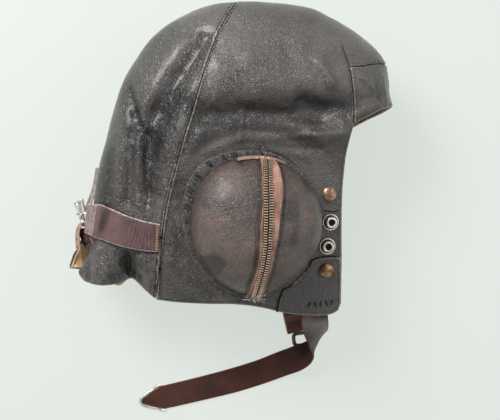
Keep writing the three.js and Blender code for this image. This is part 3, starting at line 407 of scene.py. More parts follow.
# columns: line from a to b in photograph points, width and lift in mm
fine_folds = [
    (205, 40, 180, 75, 6.0, -0.45), (192, 60, 160, 108, 8.0, -0.6), (202, 75, 190, 112, 7.0, 0.4),
    (168, 66, 148, 104, 9.0, 0.35), (150, 118, 150, 160, 5.0, -1.2), (160, 128, 162, 172, 6.0, 0.7),
    (126, 79, 133, 112, 3.0, -1.1), (133, 112, 144, 134, 3.0, -1.1), (145, 134, 146, 204, 3.5, -1.3),
    (137, 140, 137, 204, 4.0, 0.8), (122, 130, 118, 190, 6.0, 0.6), (128, 150, 126, 200, 3.5, -0.9),
    (112, 140, 106, 195, 4.0, -0.6), (160, 185, 178, 178, 3.5, 0.7), (158, 198, 170, 200, 2.5, -0.7),
    (205, 118, 250, 110, 6.0, -0.9), (250, 112, 318, 117, 6.0, -1.2), (300, 104, 345, 108, 6.0, -1.4),
    (215, 100, 235, 128, 3.5, 0.6), (232, 96, 250, 116, 3.0, -0.6), (283, 84, 300, 110, 4.0, 0.6),
    (318, 62, 331, 82, 3.0, 0.9), (310, 66, 322, 86, 3.0, -0.6), (205, 152, 240, 138, 3.0, 0.8),
    (240, 138, 345, 132, 3.0, 0.9), (214, 160, 262, 146, 2.2, -1.0), (262, 146, 322, 148, 2.5, -0.7),
    (322, 148, 346, 138, 2.5, -0.6), (300, 130, 340, 122, 2.5, -0.6), (175, 215, 182, 260, 3.0, -0.7),
    (170, 262, 200, 292, 3.0, 0.6), (190, 285, 215, 300, 3.0, -0.6), (335, 160, 338, 190, 3.0, 0.4),
    (363, 76, 380, 88, 2.4, 1.3), (380, 84, 388, 98, 2.0, -1.6), (366, 98, 388, 92, 3.0, -1.3),
    (360, 112, 384, 99, 3.0, 1.2), (386, 72, 392, 96, 2.2, 1.4), (172, 104, 152, 142, 9.0, -2.0),
    (190, 116, 172, 150, 6.0, 0.9), (250, 60, 300, 118, 9.0, 0.8), (300, 40, 322, 96, 9.0, 0.7),
    (285, 40, 300, 96, 6.0, -0.6), (222, 70, 212, 110, 8.0, 0.9), (236, 120, 292, 122, 5.0, 0.9),
    (190, 150, 205, 128, 5.0, 0.9), (178, 160, 192, 138, 4.0, -0.9), (215, 12, 250, 30, 6.0, -0.6),
    (262, 14, 330, 36, 8.0, -0.6),
]
# Places painted darker as shade in the folds, then places painted lighter as highlights.
# columns: line from a to b in photograph points, width in mm, amount of painted shade
shaded_places = [
    (180, 102, 152, 138, 13.0, 1.4), (202, 48, 172, 96, 6.0, 0.3), (147, 136, 147, 204, 4.5, 0.6),
    (300, 103, 346, 111, 8.0, 0.4), (200, 120, 330, 118, 6.0, 0.22), (127, 84, 141, 130, 3.0, 0.5),
    (194, 128, 236, 121, 9.0, 0.45), (188, 138, 180, 165, 5.0, 0.35), (122, 118, 108, 200, 22.0, 0.5),
    (172, 24, 120, 84, 24.0, 0.5), (200, 150, 180, 190, 12.0, 0.3), (225, 100, 300, 112, 14.0, 0.15),
    (152, 145, 150, 170, 7.0, 0.3), (320, 60, 340, 98, 5.0, 0.2),
    (104, 150, 99, 205, 7.0, 0.45), (180, 230, 172, 262, 5.0, 0.35), (170, 268, 210, 296, 6.0, 0.35),
    (262, 148, 310, 160, 3.5, 0.6), (214, 158, 262, 147, 3.0, 0.5),
]
# Places painted lighter as highlights, with the same columns.
highlight_places = [(360, 60, 392, 104, 16.0, 0.7), (332, 130, 338, 215, 12.0, 0.5), (225, 160, 300, 150, 8.0, 0.3)]
crackled_places = [
    (212, 36, 160, 108, 9.0, 1.0), (188, 104, 158, 138, 11.0, 0.3), (104, 172, 140, 200, 15.0, 0.95),
    (152, 142, 172, 182, 12.0, 0.8), (200, 112, 232, 124, 7.0, 0.5),
    (118, 104, 134, 142, 7.0, 0.8), (240, 66, 262, 100, 14.0, 0.35), (204, 44, 232, 80, 10.0, 0.4),
    (186, 146, 232, 128, 8.0, 0.45), (160, 205, 178, 260, 9.0, 0.6), (280, 12, 330, 60, 14.0, 0.2),
    (160, 285, 240, 296, 6.0, 0.5), (330, 130, 342, 200, 8.0, 0.3), (150, 36, 190, 14, 10.0, 0.2),
]


def line_bells(x, y, ax, ay, bx, by, width, lift):
    """Sum over lines of lift times exp(-(distance / width)²); one line at a time, all points at once."""
    total = np.zeros(np.shape(x))
    for row in zip(*np.broadcast_arrays(ax, ay, bx, by, width, lift)):
        x0, y0, x1, y1, wide, up = row
        dx, dy = x1 - x0, y1 - y0
        t = np.clip(((x - x0) * dx + (y - y0) * dy) / (dx * dx + dy * dy), 0, 1)
        away = np.hypot(x - x0 - t * dx, y - y0 - t * dy) / wide
        total += up * np.exp(-away * away)
    return total


def folds(x, y):
    """Height of the main folds."""
    f = np.array(main_folds)
    return line_bells(x, y, side_x(f[:, 0]), f[:, 1] * crown_height, side_x(f[:, 2]), f[:, 3] * crown_height,
                      f[:, 4] * crown_height, f[:, 5] * right_rise)


def ear_flat(x, y, spread):
    """1 where the flap lies flat under the ear dome, easing to 0 at a spread of its ring's size."""
    away = np.hypot((x - welt_x) / welt_half_x, (y - welt_y) / welt_half_y)
    return ease((spread - away) / 0.28)


def right_ear_plane(x, y):
    """The slanted plane that the right dome is sewn to."""
    return right_ear_height + right_slope_x * (x - ear_x) + right_slope_y * (y - ear_y)


def right_skin(x, y):
    """Height of the right side: the ridge height plus roundness times the rise, less droops, plus folds."""
    to_neck = neck_droop * ease((0.56 * crown_height - y) / (0.56 * crown_height))
    forward = ease((x + 0.41 * back_reach) / (0.51 * cap_length))
    to_face = face_droop * forward * ease((0.71 * crown_height - y) / (0.56 * crown_height))
    to_hem = hem_droop * ease((-0.26 * flap_drop - y) / (0.64 * flap_drop))
    free = ridge_height + roundness(x, y) * (right_rise - to_neck - to_face - to_hem + folds(x, y))
    return free + (right_ear_plane(x, y) - free) * ear_flat(x, y, 1.52)


def left_skin(x, y):
    """Height of the left side: sunk from the ridge, stopped softly by the surface, lifted at the ear."""
    round_ = roundness(x, y)
    pressed = soft_floor(ridge_height - left_sink * round_, 6.0)
    free = pressed + left_ear_height * round_ * ease((0.66 * crown_height - y) / (0.4 * crown_height))
    return free + (left_ear_height - free) * ear_flat(x, y, 1.75)


SIDES = (("right", True), ("left", False))
skins = {True: right_skin, False: left_skin}
fine_height = 118.0
relief_fade = 25.0


def slopes(skin, x, y, step):
    """Rise of a side per millimetre along x and along y, from the heights a step away on both sides."""
    return ((skin(x + step, y) - skin(x - step, y)) / (2 * step),
            (skin(x, y + step) - skin(x, y - step)) / (2 * step))


def above_ridge(z):
    """0 up to the ridge, easing to 1 at the fade's height above it."""
    return ease((z - ridge_height) / relief_fade)


def photo_bells(x, y, table, strength=1.0):
    """Sum of the bells of a table given in photograph points."""
    rows = np.array(table, float)
    ax, ay = in_side_view(rows[:, 0], rows[:, 1], fine_height)
    bx, by = in_side_view(rows[:, 2], rows[:, 3], fine_height)
    return line_bells(x, y, ax, ay, bx, by, rows[:, 4], strength * rows[:, 5])


def small_relief(x, y):
    """Fine folds of the table, a soft unevenness and thin creases that are deeper in the folds."""
    sharp = photo_bells(x, y, fine_folds, 1.25)
    uneven = 0.7 * noise(x, y, 34.0) + 0.35 * noise(x + 50, y, 15.0)
    crumpled = ease((-folds(x, y) - 0.6) / 4.5)
    small = 0.34 * creases(x, y, 7.0) * (0.35 + crumpled) + 0.2 * creases(x + 31, y + 17, 3.6) * (0.3 + crumpled)
    return (sharp + uneven + small) * ease((1.2 - ear_flat(x, y, 1.3)) / 0.6)


# %% The pillow as one fine grid
TURNS, RIGHT_RINGS, LEFT_RINGS = 480, 118, 46
first_lean = 0.26
lean = np.concatenate([
    np.linspace(first_lean, np.pi / 2, RIGHT_RINGS, endpoint=False),
    np.linspace(np.pi / 2, np.pi - first_lean, LEFT_RINGS),
])
turn = np.linspace(-np.pi, np.pi, TURNS, endpoint=False)
lean_grid, turn_grid = np.meshgrid(lean, turn, indexing="ij")
out = ear_reach(turn_grid) * np.minimum(np.sin(lean_grid) ** (2 / pillow_power), 1 - 1e-7)
pillow_x = ear_x + out * np.cos(turn_grid)
pillow_y = ear_y + out * np.sin(turn_grid)
on_right = lean_grid <= np.pi / 2
far_shift = far_brow * ease((pillow_x - 0.68 * brow_reach) / (0.28 * brow_reach))
far_shift = far_shift * ease((lean_grid - np.pi / 2) / (np.pi / 5))
pillow_z = np.where(on_right, right_skin(pillow_x, pillow_y), left_skin(pillow_x, pillow_y))
pillow = np.stack([pillow_x + far_shift, pillow_y, pillow_z], axis=-1)
pillow_out = grid_normals(pillow, wrap=True)
relief = small_relief(pillow_x, pillow_y) * above_ridge(pillow_z)
pillow = pillow + pillow_out * relief[..., None]
pillow_out = grid_normals(pillow, wrap=True)
facing = np.sign(pillow_out[5, 0, 2])
pillow_out *= facing
pillow_quads = grid_faces(len(lean), TURNS, wrap=True)
if facing > 0:
    pillow_quads = pillow_quads[:, ::-1]
print("pillow:", pillow.shape[0] * pillow.shape[1], "points")

# %% [markdown]
# ## Finishes
#
# Old leather is not one colour. Here it is painted darker in the folds as shade and lighter on the
# ridges as a highlight, greyer and browner where it is rubbed, and its grain is a net of small pebbles.
# Effects that several finishes share are built once as node groups, and each finish places them with
# its own values.

# %% Node helpers
def linear(colour):
    """Blender's linear light for a screen colour of red, green and blue from 0 to 255."""
    return tuple(((v / 255 + 0.055) / 1.055) ** 2.4 for v in colour) + (1.0,)


class Nodes:
    """Short calls that add and join nodes in one tree."""

    def __init__(self, tree):
        self.tree = tree

    def add(self, kind, values=None, **settings):
        """One node, with its settings, and inputs set to values or joined to other sockets."""
        node = self.tree.nodes.new(kind)
        for key, value in settings.items():
            setattr(node, key, value)
        for key, value in (values or {}).items():
            self.feed(node.inputs[key], value)
        return node

    def feed(self, socket, value):
        if isinstance(value, bpy.types.NodeSocket):
            self.tree.links.new(value, socket)
        else:
            socket.default_value = value

    def math(self, operation, a, b=0.0, clamp=False):
        return self.add("ShaderNodeMath", {0: a, 1: b}, operation=operation, use_clamp=clamp).outputs[0]

    def scaled(self, value, low, high, to_low=0.0, to_high=1.0):
        """Maps a value from low..high to to_low..to_high, clamped."""
        return self.add("ShaderNodeMapRange", {"Value": value, "From Min": low, "From Max": high,
                                               "To Min": to_low, "To Max": to_high}).outputs[0]

    def blend(self, amount, a, b):
        return self.add("ShaderNodeMix", {0: amount, 6: a, 7: b}, data_type="RGBA").outputs[2]

    def noise(self, where, scale, detail=3.0, rough=0.55, distortion=0.0):
        return self.add("ShaderNodeTexNoise", {"Vector": where, "Scale": scale, "Detail": detail,
                                               "Roughness": rough, "Distortion": distortion}).outputs[0]

    def bump(self, shader, height, depth, strength):
        node = self.add("ShaderNodeBump", {"Height": height, "Distance": depth, "Strength": strength})
        self.feed(shader["Normal"], node.outputs[0])

    def mask(self, name):
        return self.add("ShaderNodeAttribute", attribute_name=name).outputs["Fac"]

    def place(self):
        return self.add("ShaderNodeTexCoord").outputs["Object"]


def new_material(name):
    """Empty material: itself, its nodes, its shader's inputs and the object's own coordinates."""
    made = bpy.data.materials.new(name)
    made.use_nodes = True
    n = Nodes(made.node_tree)
    return made, n, made.node_tree.nodes["Principled BSDF"].inputs, n.place()


def new_group(name, inputs, outputs):
    """Empty shader node group with named inputs and outputs."""
    tree = bpy.data.node_groups.new(name, "ShaderNodeTree")
    kinds = {"float": "NodeSocketFloat", "vector": "NodeSocketVector", "colour": "NodeSocketColor"}
    for label, kind, value in inputs:
        socket = tree.interface.new_socket(name=label, in_out="INPUT", socket_type=kinds[kind])
        if value is not None:
            socket.default_value = value
    for label, kind in outputs:
        tree.interface.new_socket(name=label, in_out="OUTPUT", socket_type=kinds[kind])
    nodes = Nodes(tree)
    entry = nodes.add("NodeGroupInput").outputs
    leave = nodes.add("NodeGroupOutput").inputs
    return tree, nodes, entry, leave


# %% Group: pebbled leather grain
# Height: cells of the grain with a net of creases between them, and a fine tooth on top.
grain_group, n, entry, leave = new_group(
    "leather grain",
    [("Place", "vector", None), ("Scale", "float", 900.0), ("Crumple", "float", 0.3)],
    [("Height", "float"), ("Creases", "float")],
)
bend = n.noise(entry["Place"], 260.0, 2.0)
bent = n.add("ShaderNodeVectorMath", {0: entry["Place"]}, operation="ADD")
push = n.add("ShaderNodeVectorMath", {0: n.add("ShaderNodeCombineXYZ", {0: bend, 1: bend, 2: bend}).outputs[0]},
             operation="SCALE")
push.inputs["Scale"].default_value = 0.0012
n.feed(bent.inputs[1], push.outputs[0])
cells = n.add("ShaderNodeTexVoronoi", {"Vector": bent.outputs[0], "Scale": entry["Scale"]},
              feature="DISTANCE_TO_EDGE").outputs["Distance"]
net = n.scaled(cells, 0.0, 0.22)
coarse = n.add("ShaderNodeTexVoronoi", {"Vector": bent.outputs[0], "Scale": n.math("MULTIPLY", entry["Scale"], 0.36)},
               feature="DISTANCE_TO_EDGE").outputs["Distance"]
wide_net = n.scaled(coarse, 0.0, 0.16)
tooth = n.noise(entry["Place"], 3200.0, 2.0)
pebbles = n.math("MULTIPLY", net, n.scaled(tooth, 0.2, 0.8, 0.75, 1.0))
crumpled = n.math("MULTIPLY", n.math("SUBTRACT", wide_net, 1.0), n.math("MULTIPLY", entry["Crumple"], 1.6))
n.feed(leave["Height"], n.math("ADD", pebbles, crumpled))
n.feed(leave["Creases"], n.math("SUBTRACT", 1.0, n.math("MULTIPLY", net, wide_net)))

# %% Group: wear and stains
# Rubbed: patches where the surface has lost its colour. Stains: soft large clouds.
wear_group, n, entry, leave = new_group(
    "wear and stains",
    [("Place", "vector", None), ("Size", "float", 22.0), ("Amount", "float", 0.5)],
    [("Rubbed", "float"), ("Stains", "float")],
)
clouds = n.noise(entry["Place"], entry["Size"], 5.0, 0.62, 0.4)
low = n.math("SUBTRACT", 0.72, n.math("MULTIPLY", entry["Amount"], 0.3))
patches = n.add("ShaderNodeMapRange", {"Value": clouds, "From Min": low,
                                       "From Max": n.math("ADD", low, 0.22)}).outputs[0]
broken = n.noise(entry["Place"], 210.0, 4.0, 0.7)
n.feed(leave["Rubbed"], n.math("MULTIPLY", patches, n.scaled(broken, 0.38, 0.62)))
n.feed(leave["Stains"], n.noise(entry["Place"], n.math("MULTIPLY", entry["Size"], 0.45), 4.0, 0.6))

# %% Group: woven cloth
# Two crossed waves of threads, each hidden where the other passes over it.
weave_group, n, entry, leave = new_group(
    "woven cloth",
    [("Place", "vector", None), ("Threads", "float", 1500.0)],
    [("Height", "float")],
)
waves = [
    n.add("ShaderNodeTexWave", {"Vector": entry["Place"], "Scale": n.math("MULTIPLY", entry["Threads"], 0.32),
                                "Distortion": 1.2, "Detail": 1.0, "Detail Scale": 2.0},
          bands_direction=axis).outputs["Fac"] for axis in ("X", "Y")
]
n.feed(leave["Height"], n.math("MAXIMUM", *waves))
print("groups:", [group.name for group in (grain_group, wear_group, weave_group)])

# %% [markdown]
# The leather finish reads four values from the mesh. *edge* is the distance to the nearest cut edge in
# millimetres, *fold* is 1 in a valley and paints shade there, the ridge mask is 1 on a ridge and paints a
# highlight there, and *crackle* is 1 where the grain has cracked open. So the wear follows the seams,
# painted shade lies in the folds and painted highlight on the ridges, without a picture.

# %% Leather finish
def leather_finish(name, dark, mid, light, worn, grain_scale=900.0, depth=0.00016, crumple=0.35,
                   gloss=(0.34, 0.56), wear=0.5, wear_size=22.0, coat=0.12, edge_wear=0.7,
                   edge_reach=(0.7, 1.7), shine=0.5):
    """Leather: stained base colour, painted shade in folds, painted highlight on ridges, dark grain creases, rubbed
    patches and edges, uneven gloss, grain.
    """
    dark, mid, light, worn, pale = (linear(colour) for colour in (dark, mid, light, worn, (126, 122, 120)))
    made, n, shader, where = new_material(name)
    fold, edge, rub = n.mask("fold"), n.mask("edge"), n.mask("rub")
    grain = n.add("ShaderNodeGroup", {"Place": where, "Scale": grain_scale,
                                      "Crumple": n.scaled(fold, 0.0, 1.0, crumple * 0.5, crumple * 1.6)},
                  node_tree=grain_group).outputs
    wearing = n.add("ShaderNodeGroup", {"Place": where, "Size": wear_size, "Amount": wear},
                    node_tree=wear_group).outputs
    stains, rubbed = wearing["Stains"], wearing["Rubbed"]
    crackled = n.math("MULTIPLY", n.mask("crackle"), n.scaled(n.noise(where, 160.0, 3.0), 0.3, 0.55))
    broken = n.noise(where, 640.0, 3.0, 0.65, 0.6)
    open_cracks = n.math("MULTIPLY", crackled, n.scaled(broken, 0.5, 0.42))
    tops = n.math("MULTIPLY", crackled, n.scaled(broken, 0.53, 0.61))
    tops = n.math("MULTIPLY", tops, n.scaled(fold, 0.1, 0.7, 1.0, 0.15))
    near_edge = n.scaled(edge, edge_reach[0], edge_reach[1], 1.0, 0.0)
    ragged = n.math("MULTIPLY", near_edge, n.scaled(n.noise(where, 330.0, 3.0), 0.3, 0.55))
    colour = n.blend(n.scaled(stains, 0.34, 0.66), mid, light)
    # The fold mask paints shade with the dark colour; the ridge mask paints a highlight with the light colour.
    for share, amount, over in ((fold, 1.0, dark), (rub, 0.75, light), (grain["Creases"], 0.42, dark),
                                (open_cracks, 0.9, dark), (tops, 0.3, pale), (rubbed, 0.5, worn),
                                (ragged, edge_wear, worn)):
        colour = n.blend(n.math("MULTIPLY", share, amount), colour, over)
    n.feed(shader["Base Color"], colour)
    rough = n.scaled(n.noise(where, 75.0, 3.0), 0.3, 0.7, gloss[0], gloss[1])
    rough = n.math("ADD", rough, n.math("MULTIPLY", rubbed, 0.14), clamp=True)
    n.feed(shader["Roughness"], n.math("SUBTRACT", rough, n.math("MULTIPLY", fold, 0.12), clamp=True))
    n.feed(shader["Coat Weight"], n.scaled(stains, 0.35, 0.65, coat * 0.4, coat * 1.6))
    shader["Coat Roughness"].default_value = 0.28
    shader["Specular IOR Level"].default_value = shine
    height = n.math("ADD", grain["Height"], n.math("MULTIPLY", n.noise(where, 120.0, 3.0, 0.6), 1.6))
    height = n.math("SUBTRACT", height, n.math("MULTIPLY", open_cracks, 1.2))
    n.bump(shader, height, depth, 1.0)
    return made


cap_finish = leather_finish("cap leather", (12, 10, 10), (60, 55, 53), (90, 84, 82), (158, 148, 136),
                            grain_scale=520.0, depth=0.00026, gloss=(0.28, 0.44), wear=0.12, coat=0.24, edge_wear=0.5)
dome_finish = leather_finish("dome leather", (24, 18, 16), (50, 38, 35), (106, 91, 85),
                             (130, 84, 70), grain_scale=620.0, depth=0.0002, crumple=0.25,
                             gloss=(0.3, 0.46), wear=0.7, wear_size=34.0, coat=0.16)
# Its worn colour paints the rubbed edges and also the sheen on the nape strap's turned end.
strap_finish = leather_finish("strap leather", (26, 15, 16), (66, 42, 43), (102, 74, 74),
                              (190, 174, 172), grain_scale=900.0, depth=0.0001, gloss=(0.36, 0.5), wear=0.1,
                              wear_size=60.0, coat=0.1, edge_wear=0.9, edge_reach=(0.35, 0.95), shine=0.35)
flesh_finish = leather_finish("strap flesh side", (30, 15, 12), (56, 28, 23), (82, 45, 36),
                              (118, 72, 54), grain_scale=1500.0, depth=0.00012, crumple=0.15,
                              gloss=(0.7, 0.85), wear=0.4, wear_size=60.0, coat=0.0, edge_reach=(0.4, 1.0),
                              shine=0.3)
suede_finish = leather_finish("brown suede", (44, 26, 20), (88, 52, 36), (122, 78, 54),
                              (150, 106, 78), grain_scale=2600.0, depth=0.00012, crumple=0.15,
                              gloss=(0.75, 0.9), wear=0.5, wear_size=90.0, coat=0.0)
small_grain = {"depth": 0.0001, "crumple": 0.2, "wear_size": 60.0}
tan_finish = leather_finish("tan edge", (92, 62, 38), (150, 112, 74), (188, 150, 106), (205, 176, 136),
                            grain_scale=2400.0, gloss=(0.7, 0.85), wear=0.4, coat=0.0, **small_grain)
grey_finish = leather_finish("grey strap", (84, 72, 70), (126, 112, 110), (156, 144, 141), (176, 166, 162),
                             grain_scale=2000.0, gloss=(0.5, 0.65), wear=0.4, coat=0.05, **small_grain)
bar_finish = leather_finish("worn bar", (84, 62, 52), (140, 108, 92), (160, 132, 116), (174, 130, 108),
                            grain_scale=2000.0, gloss=(0.45, 0.6), coat=0.05, edge_wear=0.95, **small_grain)
curtain_finish = leather_finish("curtain leather", (10, 9, 9), (50, 46, 44), (96, 90, 87),
                                (140, 128, 118), grain_scale=460.0, depth=0.00034, crumple=0.6,
                                gloss=(0.3, 0.46), wear=0.45, wear_size=40.0, coat=0.14)
print("leathers:", len(bpy.data.materials))

# %% Cloth, thread and metal finishes
def cloth_finish(name, deep, bright, threads=1500.0, depth=0.00012, shade_and_ribs=None):
    """Cloth: threads over and under, with uneven dirt, and a darker colour where its fold mask paints shade and ribs.
    """
    deep, bright = linear(deep), linear(bright)
    made, n, shader, where = new_material(name)
    weave = n.add("ShaderNodeGroup", {"Place": where, "Threads": threads}, node_tree=weave_group)
    dirt = n.noise(where, 90.0, 5.0, 0.65)
    colour = n.blend(n.scaled(dirt, 0.32, 0.66), deep, bright)
    colour = n.blend(n.math("MULTIPLY", n.math("SUBTRACT", 1.0, weave.outputs["Height"]), 0.55), colour, deep)
    # The fold mask paints shade, and on the zip tape also its ribs, in this darker colour.
    if shade_and_ribs:
        colour = n.blend(n.mask("fold"), colour, linear(shade_and_ribs))
    n.feed(shader["Base Color"], colour)
    n.feed(shader["Roughness"], n.scaled(dirt, 0.3, 0.7, 0.78, 0.95))
    n.bump(shader, weave.outputs["Height"], depth, 0.8)
    return made


def thread_finish(name, deep, bright):
    """Thread: the same cloth with much finer threads."""
    return cloth_finish(name, deep, bright, threads=5200.0, depth=0.00005)


def metal_finish(name, bright, tarnish, rough=(0.22, 0.45), tarnished=0.5, size=160.0):
    """Metal: bright where it is rubbed, dull brown or grey in tarnished patches, with fine scratches."""
    made, n, shader, where = new_material(name)
    patch = n.scaled(n.noise(where, size, 5.0, 0.65), 0.62 - 0.3 * tarnished, 0.78 - 0.3 * tarnished)
    n.feed(shader["Base Color"], n.blend(patch, linear(bright), linear(tarnish)))
    n.feed(shader["Metallic"], n.scaled(patch, 0.0, 1.0, 0.95, 0.6))
    n.feed(shader["Roughness"], n.scaled(patch, 0.0, 1.0, rough[0], rough[1]))
    n.bump(shader, n.noise(where, 900.0, 3.0, 0.7), 0.00005, 0.2)
    return made


lining_finish = cloth_finish("tan lining", (158, 124, 86), (216, 186, 146))
tape_finish = cloth_finish("zip tape", (112, 78, 64), (184, 142, 122), threads=2200.0,
                           shade_and_ribs=(44, 33, 26))
dark_thread_finish = thread_finish("dark thread", (14, 11, 10), (36, 29, 26))
loose_thread_finish = thread_finish("loose thread", (140, 124, 112), (206, 192, 178))
teeth_finish = metal_finish("zip teeth", (202, 182, 158), (126, 104, 88), (0.34, 0.52), 0.4)
copper_finish = metal_finish("copper cap", (206, 178, 160), (122, 88, 66), (0.24, 0.42), 0.55, 120.0)
old_copper_finish = metal_finish("old copper cap", (176, 142, 114), (92, 66, 46), (0.24, 0.4), 0.8, 150.0)
steel_finish = metal_finish("steel", (218, 214, 204), (126, 118, 106), (0.3, 0.46), 0.4, 140.0)
dull_finish = metal_finish("dull steel", (98, 94, 88), (46, 42, 38), (0.35, 0.55), 0.6, 140.0)
tan_thread_finish = thread_finish("tan thread", (112, 92, 62), (164, 142, 104))


def plain_finish(name, low, high, glow, size=9.0, rough=0.9):
    """Even matt finish: two close colours in soft clouds, and a light of its own that evens out the shadows."""
    made, n, shader, where = new_material(name)
    n.feed(shader["Base Color"], n.blend(n.noise(where, size, 2.0), linear(low), linear(high)))
    shader["Emission Color"].default_value = linear(glow)
    shader["Emission Strength"].default_value = 1.0
    shader["Roughness"].default_value = rough
    return made


floor_finish = plain_finish("pale surface", (96, 98, 96), (100, 102, 100), (202, 208, 202))
# A near-black metal for the socket's hole and the groove round it: painted shade of these recesses.
shaded_hole_finish = metal_finish("stud hole shade", (52, 46, 40), (24, 20, 18), (0.5, 0.7), 0.6)
print("finishes in all:", len(bpy.data.materials))

# %% [markdown]
# ## Panels of the cap
#
# The cap is cut from several leathers that meet in seams. Here the fine pillow is cut by the same
# lines as the solids: for every point the distance to the panel's outline is worked out, and
# each triangle that crosses the outline is clipped exactly on it. The same distance then draws the
# worn edge and dips the leather into its seams.

# %% Cutting lines
side_seam_shares = [(-0.03, 1.12), (-0.113, 0.998), (-0.24, 0.79), (-0.302, 0.643), (-0.358, 0.506),
                    (-0.417, 0.363), (-0.471, 0.217), (-0.513, 0.09), (-0.54, -0.038)]
seam_foot = np.array([float(side_x(-0.589)), -0.81 * flap_drop])
side_seam = smooth_line(np.vstack([side_points(side_seam_shares), seam_foot]), 60)
strap_level = side_points([(-0.549, -0.048), (-0.99, 0.02)])
temple_seam = smooth_line(side_points([(0.659, 0.441), (0.656, 0.522), (0.641, 0.607), (0.624, 0.672)]), 16)
brow_seam = smooth_line(side_points([(0.634, 0.68), (0.724, 0.687), (0.834, 0.706), (1.1, 0.74)]), 16)
brow_hem = smooth_line(side_points([(0.659, 0.441), (0.753, 0.469), (0.858, 0.504), (1.0, 0.541), (1.2, 0.6)]), 20)
face_edge = smooth_line([
    (temple_seam[0, 0], brow_hem[0, 1] - 0.01 * crown_height), (1.066 * flap_front, 0.36 * crown_height),
    (1.03 * flap_front, 0.285 * crown_height), (1.005 * flap_front, 0.14 * crown_height), (flap_front, 0),
    (1.003 * flap_front, -0.5 * flap_drop), (1.005 * flap_front, -flap_drop + 10),
], 36)
hem = smooth_line([
    (1.005 * flap_front - 2.5, -flap_drop + 3.5), (1.005 * flap_front - 10, -flap_drop),
    (0.66 * flap_front, -1.01 * flap_drop), (0.34 * flap_front, -0.975 * flap_drop),
    (0.06 * flap_front, -0.905 * flap_drop), (float(side_x(-0.13)), -0.86 * flap_drop),
    (float(side_x(-0.3)), -0.85 * flap_drop), (float(side_x(-0.45)), -0.84 * flap_drop), seam_foot,
], 44)


def shifted(line, distance):
    """The same line moved to its left by a distance."""
    ahead = unit(np.gradient(line, axis=0))
    return line + np.stack([-ahead[:, 1], ahead[:, 0]], axis=1) * distance


def oval(half_x, half_y, x=ear_x, y=ear_y, steps=72):
    """Points of an ellipse."""
    angle = np.linspace(0, 2 * np.pi, steps, endpoint=False)
    return np.stack([x + half_x * np.cos(angle), y + half_y * np.sin(angle)], axis=1)


def distance_inside(x, y, polygon):
    """Distance to a polygon's nearest side, positive inside, where a ray crosses an odd number of sides."""
    nearest = np.full(x.shape, np.inf)
    inside = np.zeros(x.shape, bool)
    for (ax, ay), (bx, by) in zip(polygon, np.roll(polygon, -1, axis=0)):
        dx, dy = bx - ax, by - ay
        t = np.clip(((x - ax) * dx + (y - ay) * dy) / (dx * dx + dy * dy + 1e-12), 0, 1)
        nearest = np.minimum(nearest, (x - ax - t * dx) ** 2 + (y - ay - t * dy) ** 2)
        if ay != by:
            inside ^= ((ay > y) != (by > y)) & (x < dx * (y - ay) / dy + ax)
    return np.where(inside, 1, -1) * np.sqrt(nearest)


beside_seam = 2.1
half = seam_gap / 2
outside = 1.35 * crown_height
front_outline = np.vstack([
    shifted(side_seam, half), hem[::-1][1:], face_edge[::-1], shifted(temple_seam, half),
    shifted(brow_seam, half), [[outside, brow_seam[-1, 1]], [outside, outside]],
])
rear_outline = np.vstack([
    shifted(side_seam[side_seam[:, 1] > strap_level[0, 1]], -half), strap_level,
    [[-outside, strap_level[1, 1]], [-outside, outside]],
])
brow_outline = np.vstack([shifted(temple_seam, -half), shifted(brow_seam, -half), brow_hem[1:][::-1]])
print("cutting lines:", len(front_outline), len(rear_outline), len(brow_outline), "points")


# %% Clipping a triangle mesh
def clipped(points, triangles, keep, extras):
    """The part where keep is positive: an edge from a to b is cut at the share keep_a / (keep_a - keep_b)."""
    positive = keep > 0
    count = positive[triangles].sum(axis=1)
    whole = triangles[count == 3]
    lone = triangles[count == 1]
    turn_to = np.argmax(positive[lone], axis=1)
    lone = np.take_along_axis(lone, (turn_to[:, None] + np.arange(3)) % 3, axis=1)
    pair = triangles[count == 2]
    turn_to = np.argmin(positive[pair], axis=1)
    pair = np.take_along_axis(pair, (turn_to[:, None] + np.arange(3)) % 3, axis=1)
    edges = np.vstack([lone[:, [0, 1]], lone[:, [0, 2]], pair[:, [0, 1]], pair[:, [0, 2]]])
    ends, where = np.unique(np.sort(edges, axis=1), axis=0, return_inverse=True)
    a, b = ends[:, 0], ends[:, 1]
    t = keep[a] / (keep[a] - keep[b])
    cut = lambda values: values[a] + (values[b] - values[a]) * (t[:, None] if values.ndim > 1 else t)
    new = len(points) + where.ravel()
    m, k = len(lone), len(pair)
    ab, ac, pb, pc = new[:m], new[m:2 * m], new[2 * m:2 * m + k], new[2 * m + k:]
    faces = np.vstack([
        whole, np.stack([lone[:, 0], ab, ac], axis=1),
        np.stack([pb, pair[:, 1], pair[:, 2]], axis=1), np.stack([pb, pair[:, 2], pc], axis=1),
    ])
    used, index = np.unique(faces, return_inverse=True)
    points = np.vstack([points, cut(points)])[used]
    extras = {key: np.concatenate([v, cut(v)])[used] for key, v in extras.items()}
    keep = np.concatenate([keep, np.zeros(len(a))])[used]
    return points, index.reshape(-1, 3), keep, extras


# %% Panel from the pillow
flat_points = pillow.reshape(-1, 3)
flat_out = pillow_out.reshape(-1, 3)
pillow_triangles = np.vstack([pillow_quads[:, [0, 1, 2]], pillow_quads[:, [0, 2, 3]]])
flat_x, flat_y, flat_z = flat_points.T
bells = folds(flat_x, flat_y), 0.9 * photo_bells(flat_x, flat_y, fine_folds)
up_side = above_ridge(flat_z)
